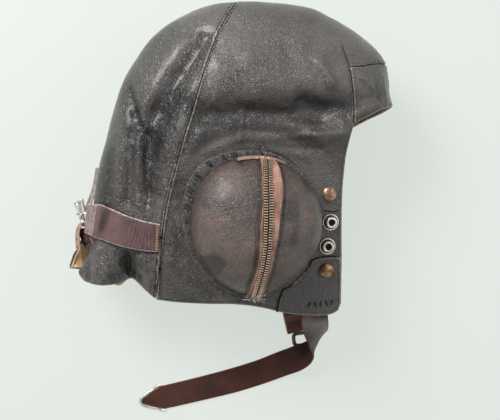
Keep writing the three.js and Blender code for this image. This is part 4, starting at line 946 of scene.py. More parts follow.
# Painted shade: darker in the fold valleys and at the shaded places. Painted highlight: lighter on the fold ridges and
# at the highlight places.
fold_shade_mask = 0.6 * ease((-bells[0] - bells[1] - 0.2) / 8.0)
fold_shade_mask = up_side * np.maximum(fold_shade_mask, np.minimum(photo_bells(flat_x, flat_y, shaded_places), 1))
patchy = 0.2 + 0.25 * noise(flat_x, flat_y, 24.0)
crackle_mask = np.clip(np.minimum(photo_bells(flat_x, flat_y, crackled_places), 1) + patchy, 0, 1)
ridge_highlight_mask = up_side * 0.8 * ease((bells[0] + bells[1] - 0.2) / 5.0)
ridge_highlight_mask = np.maximum(ridge_highlight_mask, up_side * np.minimum(photo_bells(flat_x, flat_y, highlight_places), 1))
main_relief = {"fold": fold_shade_mask, "rub": ridge_highlight_mask, "crackle": crackle_mask, "out": flat_out}
print("darkest fold", round(float(fold_shade_mask.max()), 2), "share cracked", round(float((crackle_mask > 0.5).mean()), 2))


roll_width, swell_at, shade_width = 0.8, 1.5, 0.75      # mm from the cut edge


def panel(name, replaced, outline_of, cap_hole=None, lift=0.0, wall=leather, keep_also=None, seam_dip=0.9,
          inner=lining_finish):
    """Cuts a panel from the pillow: lift moves it outwards, seam_dip rolls its edge inwards."""
    keep = distance_inside(flat_x, flat_y, outline_of)
    if cap_hole is not None:
        keep = np.minimum(keep, -distance_inside(flat_x, flat_y, cap_hole))
    if keep_also is not None:
        keep = np.minimum(keep, keep_also)
    points, faces, keep, extras = clipped(flat_points + flat_out * lift, pillow_triangles, keep, main_relief)
    out_way = unit(extras["out"])
    dip = seam_dip * np.exp(-(keep / roll_width) ** 2) - 0.5 * np.exp(-((keep - swell_at) / roll_width) ** 2)
    points = points - out_way * dip[:, None]
    # Painted shade along the stitch rows beside the seam.
    stitch_shade = 0.55 * np.exp(-((keep - beside_seam) / shade_width) ** 2)
    masks = {"fold": np.maximum(extras["fold"], stitch_shade), "rub": extras["rub"], "crackle": extras["crackle"],
             "edge": keep}
    print(name, len(faces), "triangles")
    return add_piece(name, (points, faces), [cap_finish, inner], [replaced], masks, wall, 1)


hole_oval = oval(rim_half_x * 0.88, rim_half_y * 0.88)
panel("crown_leather", "crown_panel", front_outline, cap_hole=hole_oval)
panel("rear_leather", "rear_panel", rear_outline)
panel("brow_leather", "brow_band", brow_outline)

# %% Cheek patches
patch_leather = 1.4
patch_edge = smooth_line([
    (1.1 * flap_front, -0.36 * flap_drop), (0.86 * flap_front, -0.345 * flap_drop),
    (0.68 * flap_front, -0.37 * flap_drop), (0.5 * flap_front, -0.47 * flap_drop),
    (0.365 * flap_front, -0.62 * flap_drop), (0.27 * flap_front, -0.8 * flap_drop),
    (0.215 * flap_front, -1.1 * flap_drop),
], 36)
corner_inset = 0.6
cheek_corner = np.vstack([patch_edge, [[1.1 * flap_front, -1.1 * flap_drop]]])
flap_outline = np.vstack([
    shifted(hem[::-1], corner_inset), shifted(face_edge[::-1], corner_inset),
    [[float(side_x(-0.58)), face_edge[0, 1]]],
])
welt_seat = oval(welt_half_x + 2 * seam_gap, welt_half_y + 2 * seam_gap, welt_x, welt_y)
flap_keep = distance_inside(flat_x, flat_y, flap_outline)
patch_lift = seam_gap + patch_leather
for side_name, side_keep in (("right", flat_z - ridge_height), ("left", ridge_height - flat_z)):
    panel(f"cheek_leather_{side_name}", f"cheek_patch_{side_name}", cheek_corner, cap_hole=welt_seat, lift=patch_lift,
          wall=patch_leather, keep_also=np.minimum(flap_keep, side_keep), seam_dip=0.7, inner=flesh_finish)


# %% [markdown]
# Thread, cords and bars lie on the leather. One call finds the place on it and the way out of it.

# %% Places on the finished leather
slope_step = 0.6


def leather_spot(x, y, right=True, lift=0.0):
    """Place and outward direction on the finished leather above a side-view place."""
    x, y = np.asarray(x, float), np.asarray(y, float)
    slope_x, slope_y = slopes(skins[right], x, y, slope_step)
    out_way = unit(np.stack([-slope_x, -slope_y, np.ones_like(x)], axis=-1))
    z = skins[right](x, y)
    small = small_relief(x, y) * above_ridge(z) if right else np.zeros_like(x)
    out_way = out_way if right else -out_way
    return np.stack([x, y, z], axis=-1) + out_way * (small + lift)[..., None], out_way


# %% [markdown]
# ## Stitching
#
# Each stitch is a short bead of thread that dives into the leather at both ends. One small shape
# is copied along every seam by arrays, so hundreds of stitches cost very little.

# %% Stitches
def bead(length, radius, sides=6, rings=5):
    """Spindle along x: its radius is the square root of a sine, so that both ends close."""
    t = np.linspace(0, 1, rings)
    thick = radius * np.sqrt(np.sin(np.pi * np.clip(t, 0.02, 0.98)))
    angle = np.linspace(0, 2 * np.pi, sides, endpoint=False)
    x = np.repeat((t - 0.5) * length, sides)
    y = (thick[:, None] * np.cos(angle)).ravel()
    z = (thick[:, None] * np.sin(angle)).ravel() - radius * 0.9 * np.repeat((2 * t - 1) ** 2, sides)
    return np.stack([x, y, z], axis=1), grid_faces(rings, sides, wrap=True)


def stitch_row(line, pitch, length, radius, right=True, lift=0.1, wander=0.15):
    """Stitches along a side-view line, at an even pitch, each a little out of line."""
    path = resample(line, pitch)
    spots, out_way = leather_spot(path[:, 0], path[:, 1], right, lift)
    middle = (spots[1:] + spots[:-1]) / 2
    ahead = spots[1:] - spots[:-1]
    up = (out_way[1:] + out_way[:-1]) / 2
    stray = noise(middle[:, 0] * 9, middle[:, 1] * 9, 5.0)[:, None] * wander
    return copies(bead(length, radius), middle + stray, ahead, up)


def seam_cord(line, radius, lift=0.0, right=True):
    """A thin dark roll along a side-view line, for a join seen from above."""
    path = resample(line, 0.9)
    spots, out_way = leather_spot(path[:, 0], path[:, 1], right, lift)
    return tube(spots, radius, 6, out_way)


def crown_cord(seam, radius, lift):
    """The same roll where a seam crosses the ridge: one point from each of the pillow's rings."""
    order = np.argsort(seam[:, 1])
    ahead = pillow[..., 0] - np.interp(pillow[..., 1], seam[order, 1], seam[order, 0])
    from_height = np.where(lean < np.pi / 2, 0.94, 0.86) * crown_height
    high = pillow[..., 1] > from_height[:, None]
    crossing = (ahead[:, :-1] * ahead[:, 1:] <= 0) & high[:, :-1]
    rings = np.flatnonzero(crossing.any(axis=1))
    column = crossing[rings].argmax(axis=1)
    before, after = ahead[rings, column], ahead[rings, column + 1]
    share = (before / (before - after))[:, None]
    spots = pillow[rings, column] * (1 - share) + pillow[rings, column + 1] * share
    out_way = pillow_out[rings, column]
    return tube(spots + out_way * lift, radius, 6, out_way)


cord_radius, cord_depth = 0.6, -0.75
crown_roll = crown_cord(side_seam, cord_radius, cord_depth)

# pitch, length and radius of the stitches of the side seams, of the temple and brow, and of the hems
thick_thread, fine_thread, hem_thread = (2.7, 1.8, 0.58), (2.6, 1.8, 0.3), (2.8, 1.9, 0.28)
inside_crown = side_seam[(side_seam[:, 1] < 0.985 * crown_height)]
rows = []
for right in (True, False):
    lower = inside_crown[inside_crown[:, 1] > seam_foot[1] + 4]
    if not right:
        lower = lower[lower[:, 1] < 0.9 * crown_height]
    for beside in (beside_seam, -beside_seam):
        rows.append(stitch_row(shifted(lower, beside), *thick_thread, right, 0.25))
seam_thread = add_piece("side_seam_thread", joined(rows), [dark_thread_finish])
print("side seam stitches:", len(seam_thread.data.polygons) // 24)

# %% [markdown]
# ## Ear domes
#
# Over each ear sits a leather cup that once held an earphone. The right one stands up and closes
# with a zip. The left one carries the weight, so it is pressed flat. Each cup is sewn to the
# cap through a gathered ring, whose ruffles run out like spokes.

# %% Places on the ears
def turned_to(direction):
    """Matrix that takes straight up to a direction by the shortest way."""
    aim = unit(np.asarray(direction, float))
    vx, vy = -aim[1], aim[0]
    k = np.array([[0, 0, vy], [0, 0, -vx], [-vy, vx, 0]])
    return np.eye(3) + k + k @ k / (1 + aim[2])


ear_seat = 0.2
right_ear_turn = turned_to([-right_slope_x, -right_slope_y, 1.0])
right_ear_at = np.array([ear_x, ear_y, right_ear_height + ear_seat])
left_ear_at = np.array([ear_x, ear_y, left_ear_height])


def on_right_ear(points):
    return points @ right_ear_turn.T + right_ear_at


def on_left_ear(points):
    return points * np.array([1, -1, -1]) + left_ear_at


def polar_faces(rings, sides):
    """Triangles of a disc: point 0 is the middle, then rings of points from the middle outwards."""
    j = np.arange(sides)
    k = (j + 1) % sides
    fan = np.stack([np.zeros(sides, int), 1 + j, 1 + k], axis=1)
    quads = grid_faces(rings, sides, wrap=True) + 1
    return np.vstack([fan, quads[:, [0, 3, 2]], quads[:, [0, 2, 1]]])


def around(profile, sides, squash=1.0):
    """Turns a profile of (radius, height) rows round the z axis; its first row lies on the axis."""
    angle = np.linspace(0, 2 * np.pi, sides, endpoint=False)
    radius, height = np.asarray(profile, float)[1:].T
    ring = np.stack([radius[:, None] * np.cos(angle), radius[:, None] * np.sin(angle) * squash,
                     np.broadcast_to(height[:, None], (len(radius), sides))], axis=-1)
    points = np.vstack([[[0, 0, profile[0][1]]], ring.reshape(-1, 3)])
    return points, polar_faces(len(radius), sides)


# %% Right dome
def ear_swell(angle):
    """Share of the oval by direction: a bell-shaped bulge to the upper back, a bell-shaped flat to the lower front."""
    bell = lambda middle, wide: np.exp(-(((angle - middle + np.pi) % (2 * np.pi) - np.pi) / wide) ** 2)
    return 1 + 0.11 * bell(2.4, 0.5) + 0.03 * bell(3.1, 0.5) - 0.12 * bell(-0.95, 0.65) - 0.035 * bell(-1.95, 0.4)


def dome_dents(x, y):
    """Soft dents in the cup: two sizes of noise, and a long hollow either side of the zip."""
    dents = 1.0 * noise(x + 20, y, 31.0) + 0.4 * noise(x, y + 40, 13.0) + 0.12 * creases(x, y, 8.0)
    long = line_bells(x, y, [-18.0, 16.0, -30.0, 30.0], [30.0, 34.0, -5.0, 5.0], [-12.0, 22.0, -16.0, 38.0],
                      [-8.0, 4.0, -38.0, -22.0], [7.0, 5.0, 8.0, 6.0], [0.9, 0.9, -0.9, -0.9])
    return dents + long


def dome_spot(side, turn_by):
    """Place and outward direction on the right cup: side is a share of its half width, turn in degrees."""
    side, turn_by = np.broadcast_arrays(np.asarray(side, float), np.asarray(turn_by, float))
    angle = np.radians(turn_by)
    out = np.abs(np.sin(angle)) ** (2 / dome_power) * np.sign(angle)
    under = np.abs(turn_by) > 90
    width = np.where(under, side * np.abs(out), side)
    along = np.sqrt(1 - side ** 2) * out
    share = np.hypot(width, along)
    up = np.abs(np.cos(angle)) ** (2 / dome_power)
    height = np.where(under, -dome_tuck * up,
                      dome_bulge * np.maximum(1 - share ** dome_power, 0) ** (1 / dome_power))
    deep = np.where(under, dome_tuck, dome_bulge)
    bend = np.maximum(share, 1e-3) ** (dome_power - 2)
    out_way = unit(np.stack([width * bend / dome_width * 2, along * bend / dome_tall * 2,
                             np.sign(height) * (np.abs(height) / deep) ** (dome_power - 1) / deep], axis=-1))
    swell = ear_swell(np.arctan2(along, width))
    place = np.stack([width * dome_width / 2 * swell, along * dome_tall / 2 * swell, height + rim_depth + seam_gap],
                     axis=-1)
    dents = dome_dents(place[..., 0], place[..., 1]) * ease(1.25 - 1.2 * share)
    return place + out_way * dents[..., None], out_way


cup_leather = 2.0
no_edge = 9.0                                           # mm, too far off for a worn edge
DOME_RINGS, DOME_SIDES = 110, 260
dome_turns = np.linspace(0, rim_turn, DOME_RINGS + 1)
dome_out = np.sin(dome_turns) ** (2 / dome_power)
dome_up = np.abs(np.cos(dome_turns)) ** (2 / dome_power)
dome_height = np.where(dome_turns <= np.pi / 2, dome_bulge, -dome_tuck) * dome_up
dome_profile = np.stack([dome_width / 2 * dome_out, seam_gap + rim_depth + dome_height], axis=1)
dome_points, dome_faces = around(dome_profile, DOME_SIDES, dome_tall / dome_width)
ring_turn = np.concatenate([[0], np.repeat(dome_turns[1:], DOME_SIDES)])
spoke = np.arctan2(dome_points[:, 1], dome_points[:, 0])
dome_points[:, :2] *= ear_swell(spoke)[:, None]
gathers = np.sin(spoke * 46 + 3 * np.sin(spoke * 5)) * ease((ring_turn - 1.25) / 0.5)
gathers *= 0.25 + 0.75 * ease((np.cos(spoke - 2.3) + 0.2) / 0.8)
dents = dome_dents(dome_points[:, 0], dome_points[:, 1]) * ease(1.25 - 1.2 * np.sin(ring_turn))
out_ways = unit(dome_points / np.array([dome_width / 2, dome_tall / 2, dome_bulge]) ** 2)
dome_points = dome_points + out_ways * (dents + 0.32 * gathers)[:, None]
clouds = 0.75 * noise(dome_points[:, 0], dome_points[:, 1], 21.0)
clouds += 0.45 * noise(dome_points[:, 0] + 9, dome_points[:, 1], 8.0)
# Painted shade: darker where the cup tucks under its ring. Painted highlight: lighter along the lower front rim. The
# cup is also lighter towards the front and darker towards the upper back, and the clouds give random darker and
# lighter tone.
rim_highlight = ease((ring_turn - 0.85) / 0.4) * ease((1.75 - ring_turn) / 0.2) * ease((np.cos(spoke + 0.65) - 0.1) / 0.5)
upper_back = ease((dome_points[:, 1] - 0.6 * dome_points[:, 0]) / 50)
dome_masks = {
    "fold": np.maximum(ease((ring_turn - 1.6) / 0.4) * 0.8, 0.75 * ease((-clouds - 0.1) / 0.5) + 0.3 * upper_back),
    "rub": np.clip(ease((clouds - 0.05) / 0.5) * 0.7 * (1 - 0.6 * upper_back) + 0.9 * rim_highlight
                   + 0.25 * ease((dome_points[:, 0] - 8) / 30), 0, 1),
    "crackle": 0.35 + 0.5 * ease((ring_turn - 1.2) / 0.4), "edge": no_edge,
}
add_piece("right_ear_cup", (on_right_ear(dome_points), dome_faces), [dome_finish, lining_finish],
          ["ear_dome_right"], dome_masks, cup_leather, 1)
print("right cup:", len(dome_faces), "triangles")

# %% [markdown]
# The left dome has the same oval but carries the helmet, so its profile is a flat pillow. A ripple
# round its side stands for the leather that gives way.

# %% Left dome, pressed flat under the weight
flat_share = 0.66
pressed = left_ear_height - seam_gap
pressed_half = dome_width / 2
flat_radius = flat_share * pressed_half
middle = seam_gap + pressed / 2
bend_turn = np.linspace(0, np.pi * 5 / 6, 40)
pressed_profile = np.vstack([
    [[0, middle + pressed / 2]],
    np.stack([np.linspace(4, flat_radius - 2, 16), np.full(16, middle + pressed / 2)], axis=1),
    np.stack([flat_radius + (pressed_half - flat_radius) * np.sin(bend_turn) ** 0.8,
              middle + pressed / 2 * np.cos(bend_turn)], axis=1),
    [[rim_half_x, seam_gap]],
])
pressed_points, pressed_faces = around(pressed_profile, 180, dome_tall / dome_width)
spoke = np.arctan2(pressed_points[:, 1], pressed_points[:, 0])
reach = np.hypot(pressed_points[:, 0], pressed_points[:, 1]) / pressed_half
ripple = np.sin(spoke * 30 + 4 * np.sin(spoke * 3)) * ease((reach - 0.72) / 0.2) * 0.5
pressed_points[:, :2] *= (1 + ripple / pressed_half)[:, None]
# Darker towards the rim: painted shade where the pressed cup turns under; a little lighter all over.
pressed_masks = {"fold": ease((reach - 0.8) / 0.2) * 0.5, "rub": 0.4, "crackle": 0.3, "edge": no_edge}
add_piece("left_ear_cup", (on_left_ear(pressed_points), pressed_faces), [dome_finish, lining_finish],
          ["ear_dome_left"], pressed_masks, cup_leather, 1)
print("left cup:", len(pressed_faces), "triangles,", round(pressed, 1), "mm thick")

# %% Gathered rings
WELT_SIDES = 420
welt_section = smooth_line([(0, 0), (0, 0.75), (0.25, 1), (0.7, 1), (1, 0.6), (1, 0)], 20)


def gathered_ring(shift_y, swell_of):
    """Ring between two ovals: its section is smooth, and ruffles lift it in spokes."""
    angle = np.linspace(0, 2 * np.pi, WELT_SIDES, endpoint=False)
    swell = swell_of(angle)[:, None]
    inner = oval(welt_inner_x + seam_gap, welt_inner_y + seam_gap, 0, 0, WELT_SIDES) * swell
    outer = oval(welt_half_x, welt_half_y, welt_shift_x, shift_y, WELT_SIDES) * np.maximum(1.1 * swell - 0.1, 1)
    share, up = welt_section[:, 0], welt_section[:, 1]
    flat = inner[:, None] + (outer - inner)[:, None] * share[None, :, None]
    ripples = np.sin(angle * 66 + 6 * np.sin(angle * 7) + 7 * noise(angle * 40, angle, 3.0)) * 0.5 + 0.5
    amount = (0.15 + 0.7 * ease((np.cos(angle - 2.1) - 0.2) / 0.7)) * (0.6 + 0.4 * np.sin(angle * 31))
    drop = (ripples * amount)[:, None] * np.sin(np.pi * np.clip(share, 0, 1))[None, :]
    z = seam_gap + welt_height * (up[None, :] - drop * 0.7)
    points = np.concatenate([flat, z[..., None]], axis=-1).reshape(-1, 3)
    count = len(share)
    around_it = grid_faces(WELT_SIDES + 1, count) % len(points)
    first = np.arange(WELT_SIDES) * count
    second = np.roll(first, -1)
    under = np.stack([first, second, second + count - 1, first + count - 1], axis=1)[:, ::-1]
    return points, np.vstack([around_it, under]), np.clip(drop * 1.6, 0, 1).ravel()


for side_name, place_on, shift_y in (("right", on_right_ear, welt_shift_y), ("left", on_left_ear, -welt_shift_y)):
    points, faces, fold = gathered_ring(shift_y, ear_swell if side_name == "right" else np.ones_like)
    # Painted shade in the ruffles' hollows, painted highlight on their tops.
    masks = {"fold": fold, "rub": np.clip(0.7 - fold, 0, 1) * 0.6, "crackle": 0.9, "edge": no_edge}
    add_piece(f"gathered_ring_{side_name}", (place_on(points), faces), [cap_finish],
              [f"ear_welt_{side_name}"], masks)
    print("gathered ring", side_name, len(faces), "quads")

# %% [markdown]
# ## Zip of the right cup
#
# The cup opens with a zip, so that the earphone could be taken out. The zip is two tapes with a
# row of metal teeth on each. The leather is folded under along the tapes and stitched.

# %% Zip tape and teeth
zip_rows = np.array([
    (97, -0.02, 0.09, 0.2), (80, -0.03, 0.08, 0.21), (56, -0.06, 0.04, 0.23), (35, -0.08, 0.01, 0.23),
    (16, -0.1, 0.0, 0.19), (-1, -0.13, -0.01, 0.15), (-21, -0.15, -0.035, 0.1), (-50, -0.22, -0.09, 0.03),
    (-78, -0.2, -0.08, 0.04),
])
zip_fine = smooth_line(zip_rows, 160)
zip_turn, zip_left, zip_teeth_at, zip_right = zip_fine.T
tooth_pitch = 2.1
tooth_wide, tooth_deep, tooth_tall = 3.3, 0.95, 1.2
half_gap = 0.5
tape_lift, teeth_lift, tape_thick = 1.2, 2.0, 0.7
tape_share = np.linspace(0, 1, 41)
tape_side = zip_left[:, None] + (zip_right - zip_left)[:, None] * tape_share
tape_place, tape_out = dome_spot(tape_side, np.repeat(zip_turn[:, None], len(tape_share), axis=1))
hollow = 0.35 * np.sin(np.pi * tape_share)[None, :, None]
tape_place = tape_place + tape_out * (tape_lift - hollow)
tooth_zone = (half_gap + tooth_wide) / (dome_width / 2)
from_teeth = np.abs(tape_side - zip_teeth_at[:, None]) / tooth_zone
tape_lines = sum(np.exp(-((tape_share - at) / 0.022) ** 2) for at in (0.12, 0.74, 0.88))
tape_edges = np.exp(-((1 - np.abs(2 * tape_share - 1)) / 0.06) ** 2)
# Painted shade: darker beside the teeth and along the tape's edges. The three thin darker lines are the tape's ribs.
tape_masks = {"fold": 0.9 * ease((1.12 - from_teeth) / 0.2) + 0.5 * tape_edges + 0.4 * tape_lines}
tape_shape = on_right_ear(tape_place.reshape(-1, 3)), grid_faces(*tape_side.shape)[:, ::-1]
add_piece("zip_tape_cloth", tape_shape, [tape_finish], ["zip_tape"], tape_masks, tape_thick)


def pillow_box(wide, deep, tall, sides=10, rings=7):
    """Rounded box: a sphere whose every direction is pushed out by the power 0.45 of its cosine."""
    lat = np.linspace(-np.pi / 2, np.pi / 2, rings)
    lon = np.linspace(0, 2 * np.pi, sides, endpoint=False)
    lat_grid, lon_grid = np.meshgrid(lat, lon, indexing="ij")
    push = lambda v: np.sign(v) * np.abs(v) ** 0.45
    x = push(np.cos(lat_grid)) * push(np.cos(lon_grid)) * wide / 2
    y = push(np.cos(lat_grid)) * push(np.sin(lon_grid)) * deep / 2
    z = push(np.sin(lat_grid)) * tall / 2
    return np.stack([x, y, z], axis=-1).reshape(-1, 3), grid_faces(rings, sides, wrap=True)[:, ::-1]


def along_zip(side_of, spacing, first=0.12, shift=0.0):
    """Even places along the zip at a side: place, outward direction and direction along."""
    keep = slice(int(first * len(zip_turn)), None)
    place, out_way = dome_spot(side_of[keep], zip_turn[keep])
    run = distance_run(place)
    at = np.arange(shift, run[-1], spacing)
    read = lambda values: np.stack([np.interp(at, run, values[:, k]) for k in range(3)], axis=1)
    return read(place), read(out_way), read(np.gradient(place, axis=0))


teeth = []
column = (half_gap + tooth_wide / 2) / (dome_width / 2)
tooth = pillow_box(tooth_wide, tooth_deep, tooth_tall)
for sign, shift in ((-1, 0.0), (1, tooth_pitch / 2)):
    place, out_way, ahead = along_zip(zip_teeth_at + sign * column, tooth_pitch, shift=shift)
    teeth.append(copies(tooth, place + out_way * teeth_lift, np.cross(ahead, out_way), out_way))
points, faces = joined(teeth)
add_piece("zip_teeth_rows", (on_right_ear(points), faces), [teeth_finish], ["zip_teeth"])
print("zip teeth:", len(points) // len(tooth[0]))

# %% Folded leather edges and stitches along the zip
roll_beside, stitch_beside = 0.008, 0.055               # shares of the cup's half width
roll_lift, roll_radius, zip_pitch = 0.95, 0.8, 2.4
rolls, zip_stitches = [], []
for side_of, sign in ((zip_left, -1), (zip_right, 1)):
    place, out_way, ahead = along_zip(side_of + sign * roll_beside, 1.0, first=0.06)
    place, out_way = on_right_ear(place + out_way * roll_lift), out_way @ right_ear_turn.T
    rolls.append(tube(place, roll_radius, 8, out_way))
    place, out_way, ahead = along_zip(side_of + sign * stitch_beside, zip_pitch, first=0.1)
    zip_stitches.append(copies(bead(1.7, 0.34), place + out_way * 0.12, ahead, out_way))
roll_masks = {"fold": 0.7, "rub": 0.0, "edge": no_edge}
add_piece("zip_folded_edges", joined(rolls), [dome_finish], masks=roll_masks)
points, faces = joined(zip_stitches)
add_piece("zip_stitches", (on_right_ear(points), faces), [dark_thread_finish])
print("zip edges:", len(rolls), "rolls,", len(zip_stitches), "rows of stitches")

# %% Worn bar over the zip's top end
BAR_COLUMNS, BAR_ROWS = 60, 12
bar_side = np.linspace(-0.34, 0.38, BAR_COLUMNS)
bar_turn = np.linspace(79, 91, BAR_ROWS)
place, out_way = dome_spot(*np.meshgrid(bar_side, bar_turn, indexing="ij"))
uneven = 1.0 + 0.25 * noise(bar_side * 60, bar_side * 0, 5.0)
swell = np.sin(np.pi * np.linspace(0, 1, BAR_ROWS)) ** 0.6 * uneven[:, None]
taper = ease((0.38 - np.abs(bar_side - 0.02)) / 0.06)[:, None]
bar_place = place + out_way * (0.9 + 1.2 * swell * taper)[..., None]
# Painted shade at the bar's low sides, painted highlight on its raised middle.
bar_masks = {"fold": (1 - swell).ravel() * 0.6, "rub": (taper * swell).ravel() * 0.5,
             "edge": np.broadcast_to(3 * ease((np.abs(bar_side[:, None] - 0.06) - 0.12) / 0.08), swell.shape).ravel()}
add_piece("worn_bar", (on_right_ear(bar_place.reshape(-1, 3)), grid_faces(*swell.shape)[:, ::-1]), [bar_finish],
          ["zip_top_bar"], bar_masks, 0.9)
print("worn bar:", round(float(dome_width / 2 * (bar_side[-1] - bar_side[0]))), "mm long")

# %% Frayed thread at the zip's foot
frayed_ends = 20
fray = []
for index in range(frayed_ends):
    start = np.array([-9.5 + 0.75 * index + 1.5 * lattice_table[index, 3], -58.5 - 3.5 * lattice_table[index, 5], 8.0])
    reach = 5.5 + 2.5 * lattice_table[index, 7]
    heading = np.pi * lattice_table[index, 9]
    t = np.linspace(0, 1, 9)[:, None]
    away = np.array([np.cos(heading), 0.8 * np.sin(heading), 0.0]) * reach
    curl = np.sin(np.pi * t) * np.array([0.8, 1.2 * (-1) ** index, 2.2])
    fray.append(tube(start + away * (t - 0.5) + curl, 0.5, 6))
points, faces = joined(fray)
add_piece("frayed_thread", (on_right_ear(points), faces), [loose_thread_finish])
print("frayed ends:", len(fray))

# %% [markdown]
# ## Press studs
#
# Two copper caps and two sockets run down the front edge of each flap. Each is turned on its own
# axis from a fine profile. The sockets have a dark hole with a small disc at its bottom.

# %% Press studs
stud_diameter, stud_edge = 14.4, 3.0
cap_profile = smooth_line([(0, 3.3), (2.4, 3.1), (4.6, 2.3), (5.9, 1.2), (6.4, 0.5), (6.3, 0.05)], 26)
cap_profile = np.vstack([cap_profile, [(5.4, 0.0)]])
post_lines = [
    (0, 1.9), (1.0, 1.85), (1.5, 1.3), (2.3, 1.2), (2.65, 1.5), (2.75, 3.2), (2.9, 4.2), (3.4, 4.6), (4.1, 4.55),
    (4.75, 4.1), (5.0, 3.3), (5.0, 1.9), (5.2, 1.0), (5.8, 0.8), (6.4, 1.15), (6.95, 1.1), (7.2, 0.6), (7.15, 0.05),
]
post_profile = np.vstack([smooth_line(post_lines, 90), [(6.2, 0.0)]])
stud_rows = [
    ("cap_upper", 0.35, 0.86, False, 0.0), ("post_upper", 0.042, 0.72, True, 0.0),
    ("post_lower", -0.225, 0.98, True, 0.0), ("cap_lower", -0.49, 1.04, False, patch_leather + seam_gap),
]
seat_gap = 0.62
stud_step = 0.05 * dome_width
for stud_name, level, inset, is_post, under in stud_rows:
    for side_name, right in SIDES:
        x, y = flap_front - stud_edge - inset * stud_diameter * 0.7, level * flap_drop
        slope_x, slope_y = slopes(skins[right], x, y, stud_step)
        out_way = unit(np.array([-slope_x, -slope_y, 1.0]) * (1 if right else -1))
        flip = np.diag([1.0, 1.0, 1.0] if right else [1.0, -1.0, -1.0])
        turn_it = turned_to(out_way @ flip)
        points, faces = around(post_profile if is_post else cap_profile, 48)
        which = None
        if is_post:
            radius = np.hypot(points[:, 0], points[:, 1])[faces].mean(axis=1)
            # Faces in the hole and in the groove take the near-black metal that paints their shade.
            which = np.where((radius < 2.7) | ((radius > 5.05) & (radius < 6.0)), 1, 0)
        seat = np.array([x, y, float(skins[right](x, y))])
        points = points @ turn_it.T @ flip.T + seat + out_way * (seat_gap + under)
        cap_metal = old_copper_finish if stud_name == "cap_lower" else copper_finish
        finishes = [steel_finish, shaded_hole_finish] if is_post else [cap_metal]
        add_piece(f"stud_{stud_name}_{side_name}", (points, faces), finishes,
                  [f"{stud_name}_{side_name}"], which=which)
print("studs:", 2 * len(stud_rows))


# %% [markdown]
# ## Neck curtain
#
# Below the nape strap the cap ends in a curtain of two halves, split at the back. The tables give
# the hem: how far it swings out and how deep a fold runs up from it. The inside is lined in tan.

# %% Neck curtain
curtain_right_rows = [(-0.594, -0.8, 1.44, 0), (-0.655, -0.72, 1.4, 1), (-0.72, -0.62, 1.26, -3),
                      (-0.765, -0.6, 1.1, -7), (-0.82, -0.645, 1.32, 0), (-0.925, -0.66, 1.36, 3),
                      (-1.03, -0.63, 1.16, 2), (-1.072, -0.55, 1.07, 0)]
curtain_left_rows = [(-0.588, -0.78, 0.46, 0), (-0.7, -0.7, 0.4, -1), (-0.82, -0.62, 0.36, -1),
                     (-0.94, -0.58, 0.52, 1), (-1.06, -0.53, 0.66, 0), (-1.15, -0.5, 0.8, 0)]
curtain_gap, flare = 1.4, 2.3
CURTAIN_COLUMNS, CURTAIN_ROWS = 150, 60


def curtain_grid(rows, right, lift=0.0, low=0.0, high=1.0, first=0.0, peek=0.0):
    """Grid from the strap level (v = 0) to the hem (v = 1): height leaves the head's line as v to a power."""
    fine_rows = smooth_line(rows, CURTAIN_COLUMNS)
    t = np.linspace(0, 1, CURTAIN_COLUMNS + 1)
    keep = t >= first
    t = t[keep][:, None]
    row_x, row_y, row_z, row_fold = (fine_rows[keep, k][:, None] for k in range(4))
    v = np.linspace(low, high, CURTAIN_ROWS)[None, :]
    v = v * (1 + peek * np.exp(-((row_x + 0.8) / 0.05) ** 2))
    top = strap_level[0] + (strap_level[1] - strap_level[0]) * t - np.array([0, curtain_gap])
    top_x, top_y = top[:, :1], top[:, 1:]
    side_split = ease((t - 0.72) / 0.28)
    opened = side_split * (9.0 * np.abs(1 - v) ** 1.5 * ease(v / 0.1) if right else -5.0 * np.sin(np.pi * v))
    x = top_x + (side_x(row_x) - top_x) * v + opened
    y = top_y + (row_y * flap_drop - top_y) * v
    top_z = skins[right](top_x, top_y)
    z = top_z + (row_z * ridge_height - top_z) * v ** flare + row_fold * 1.6 * np.sin(np.pi * v) * v
    grid = np.stack(np.broadcast_arrays(x, y, z), axis=-1)
    out_way = grid_normals(grid)
    out_way *= np.sign(out_way[3, 3, 2]) * (1 if right else -1)
    ripple = 1.5 * noise(x * 1.6, y * 0.4, 9.0) + 0.8 * creases(x * 1.5, y * 0.6, 6.0)
    ripple = ripple * ease(v / 0.25) * ease((1.04 - v) / 0.12)
    return grid + out_way * (ripple + lift)[..., None], out_way, ripple, row_fold + 0 * v, v + 0 * row_x


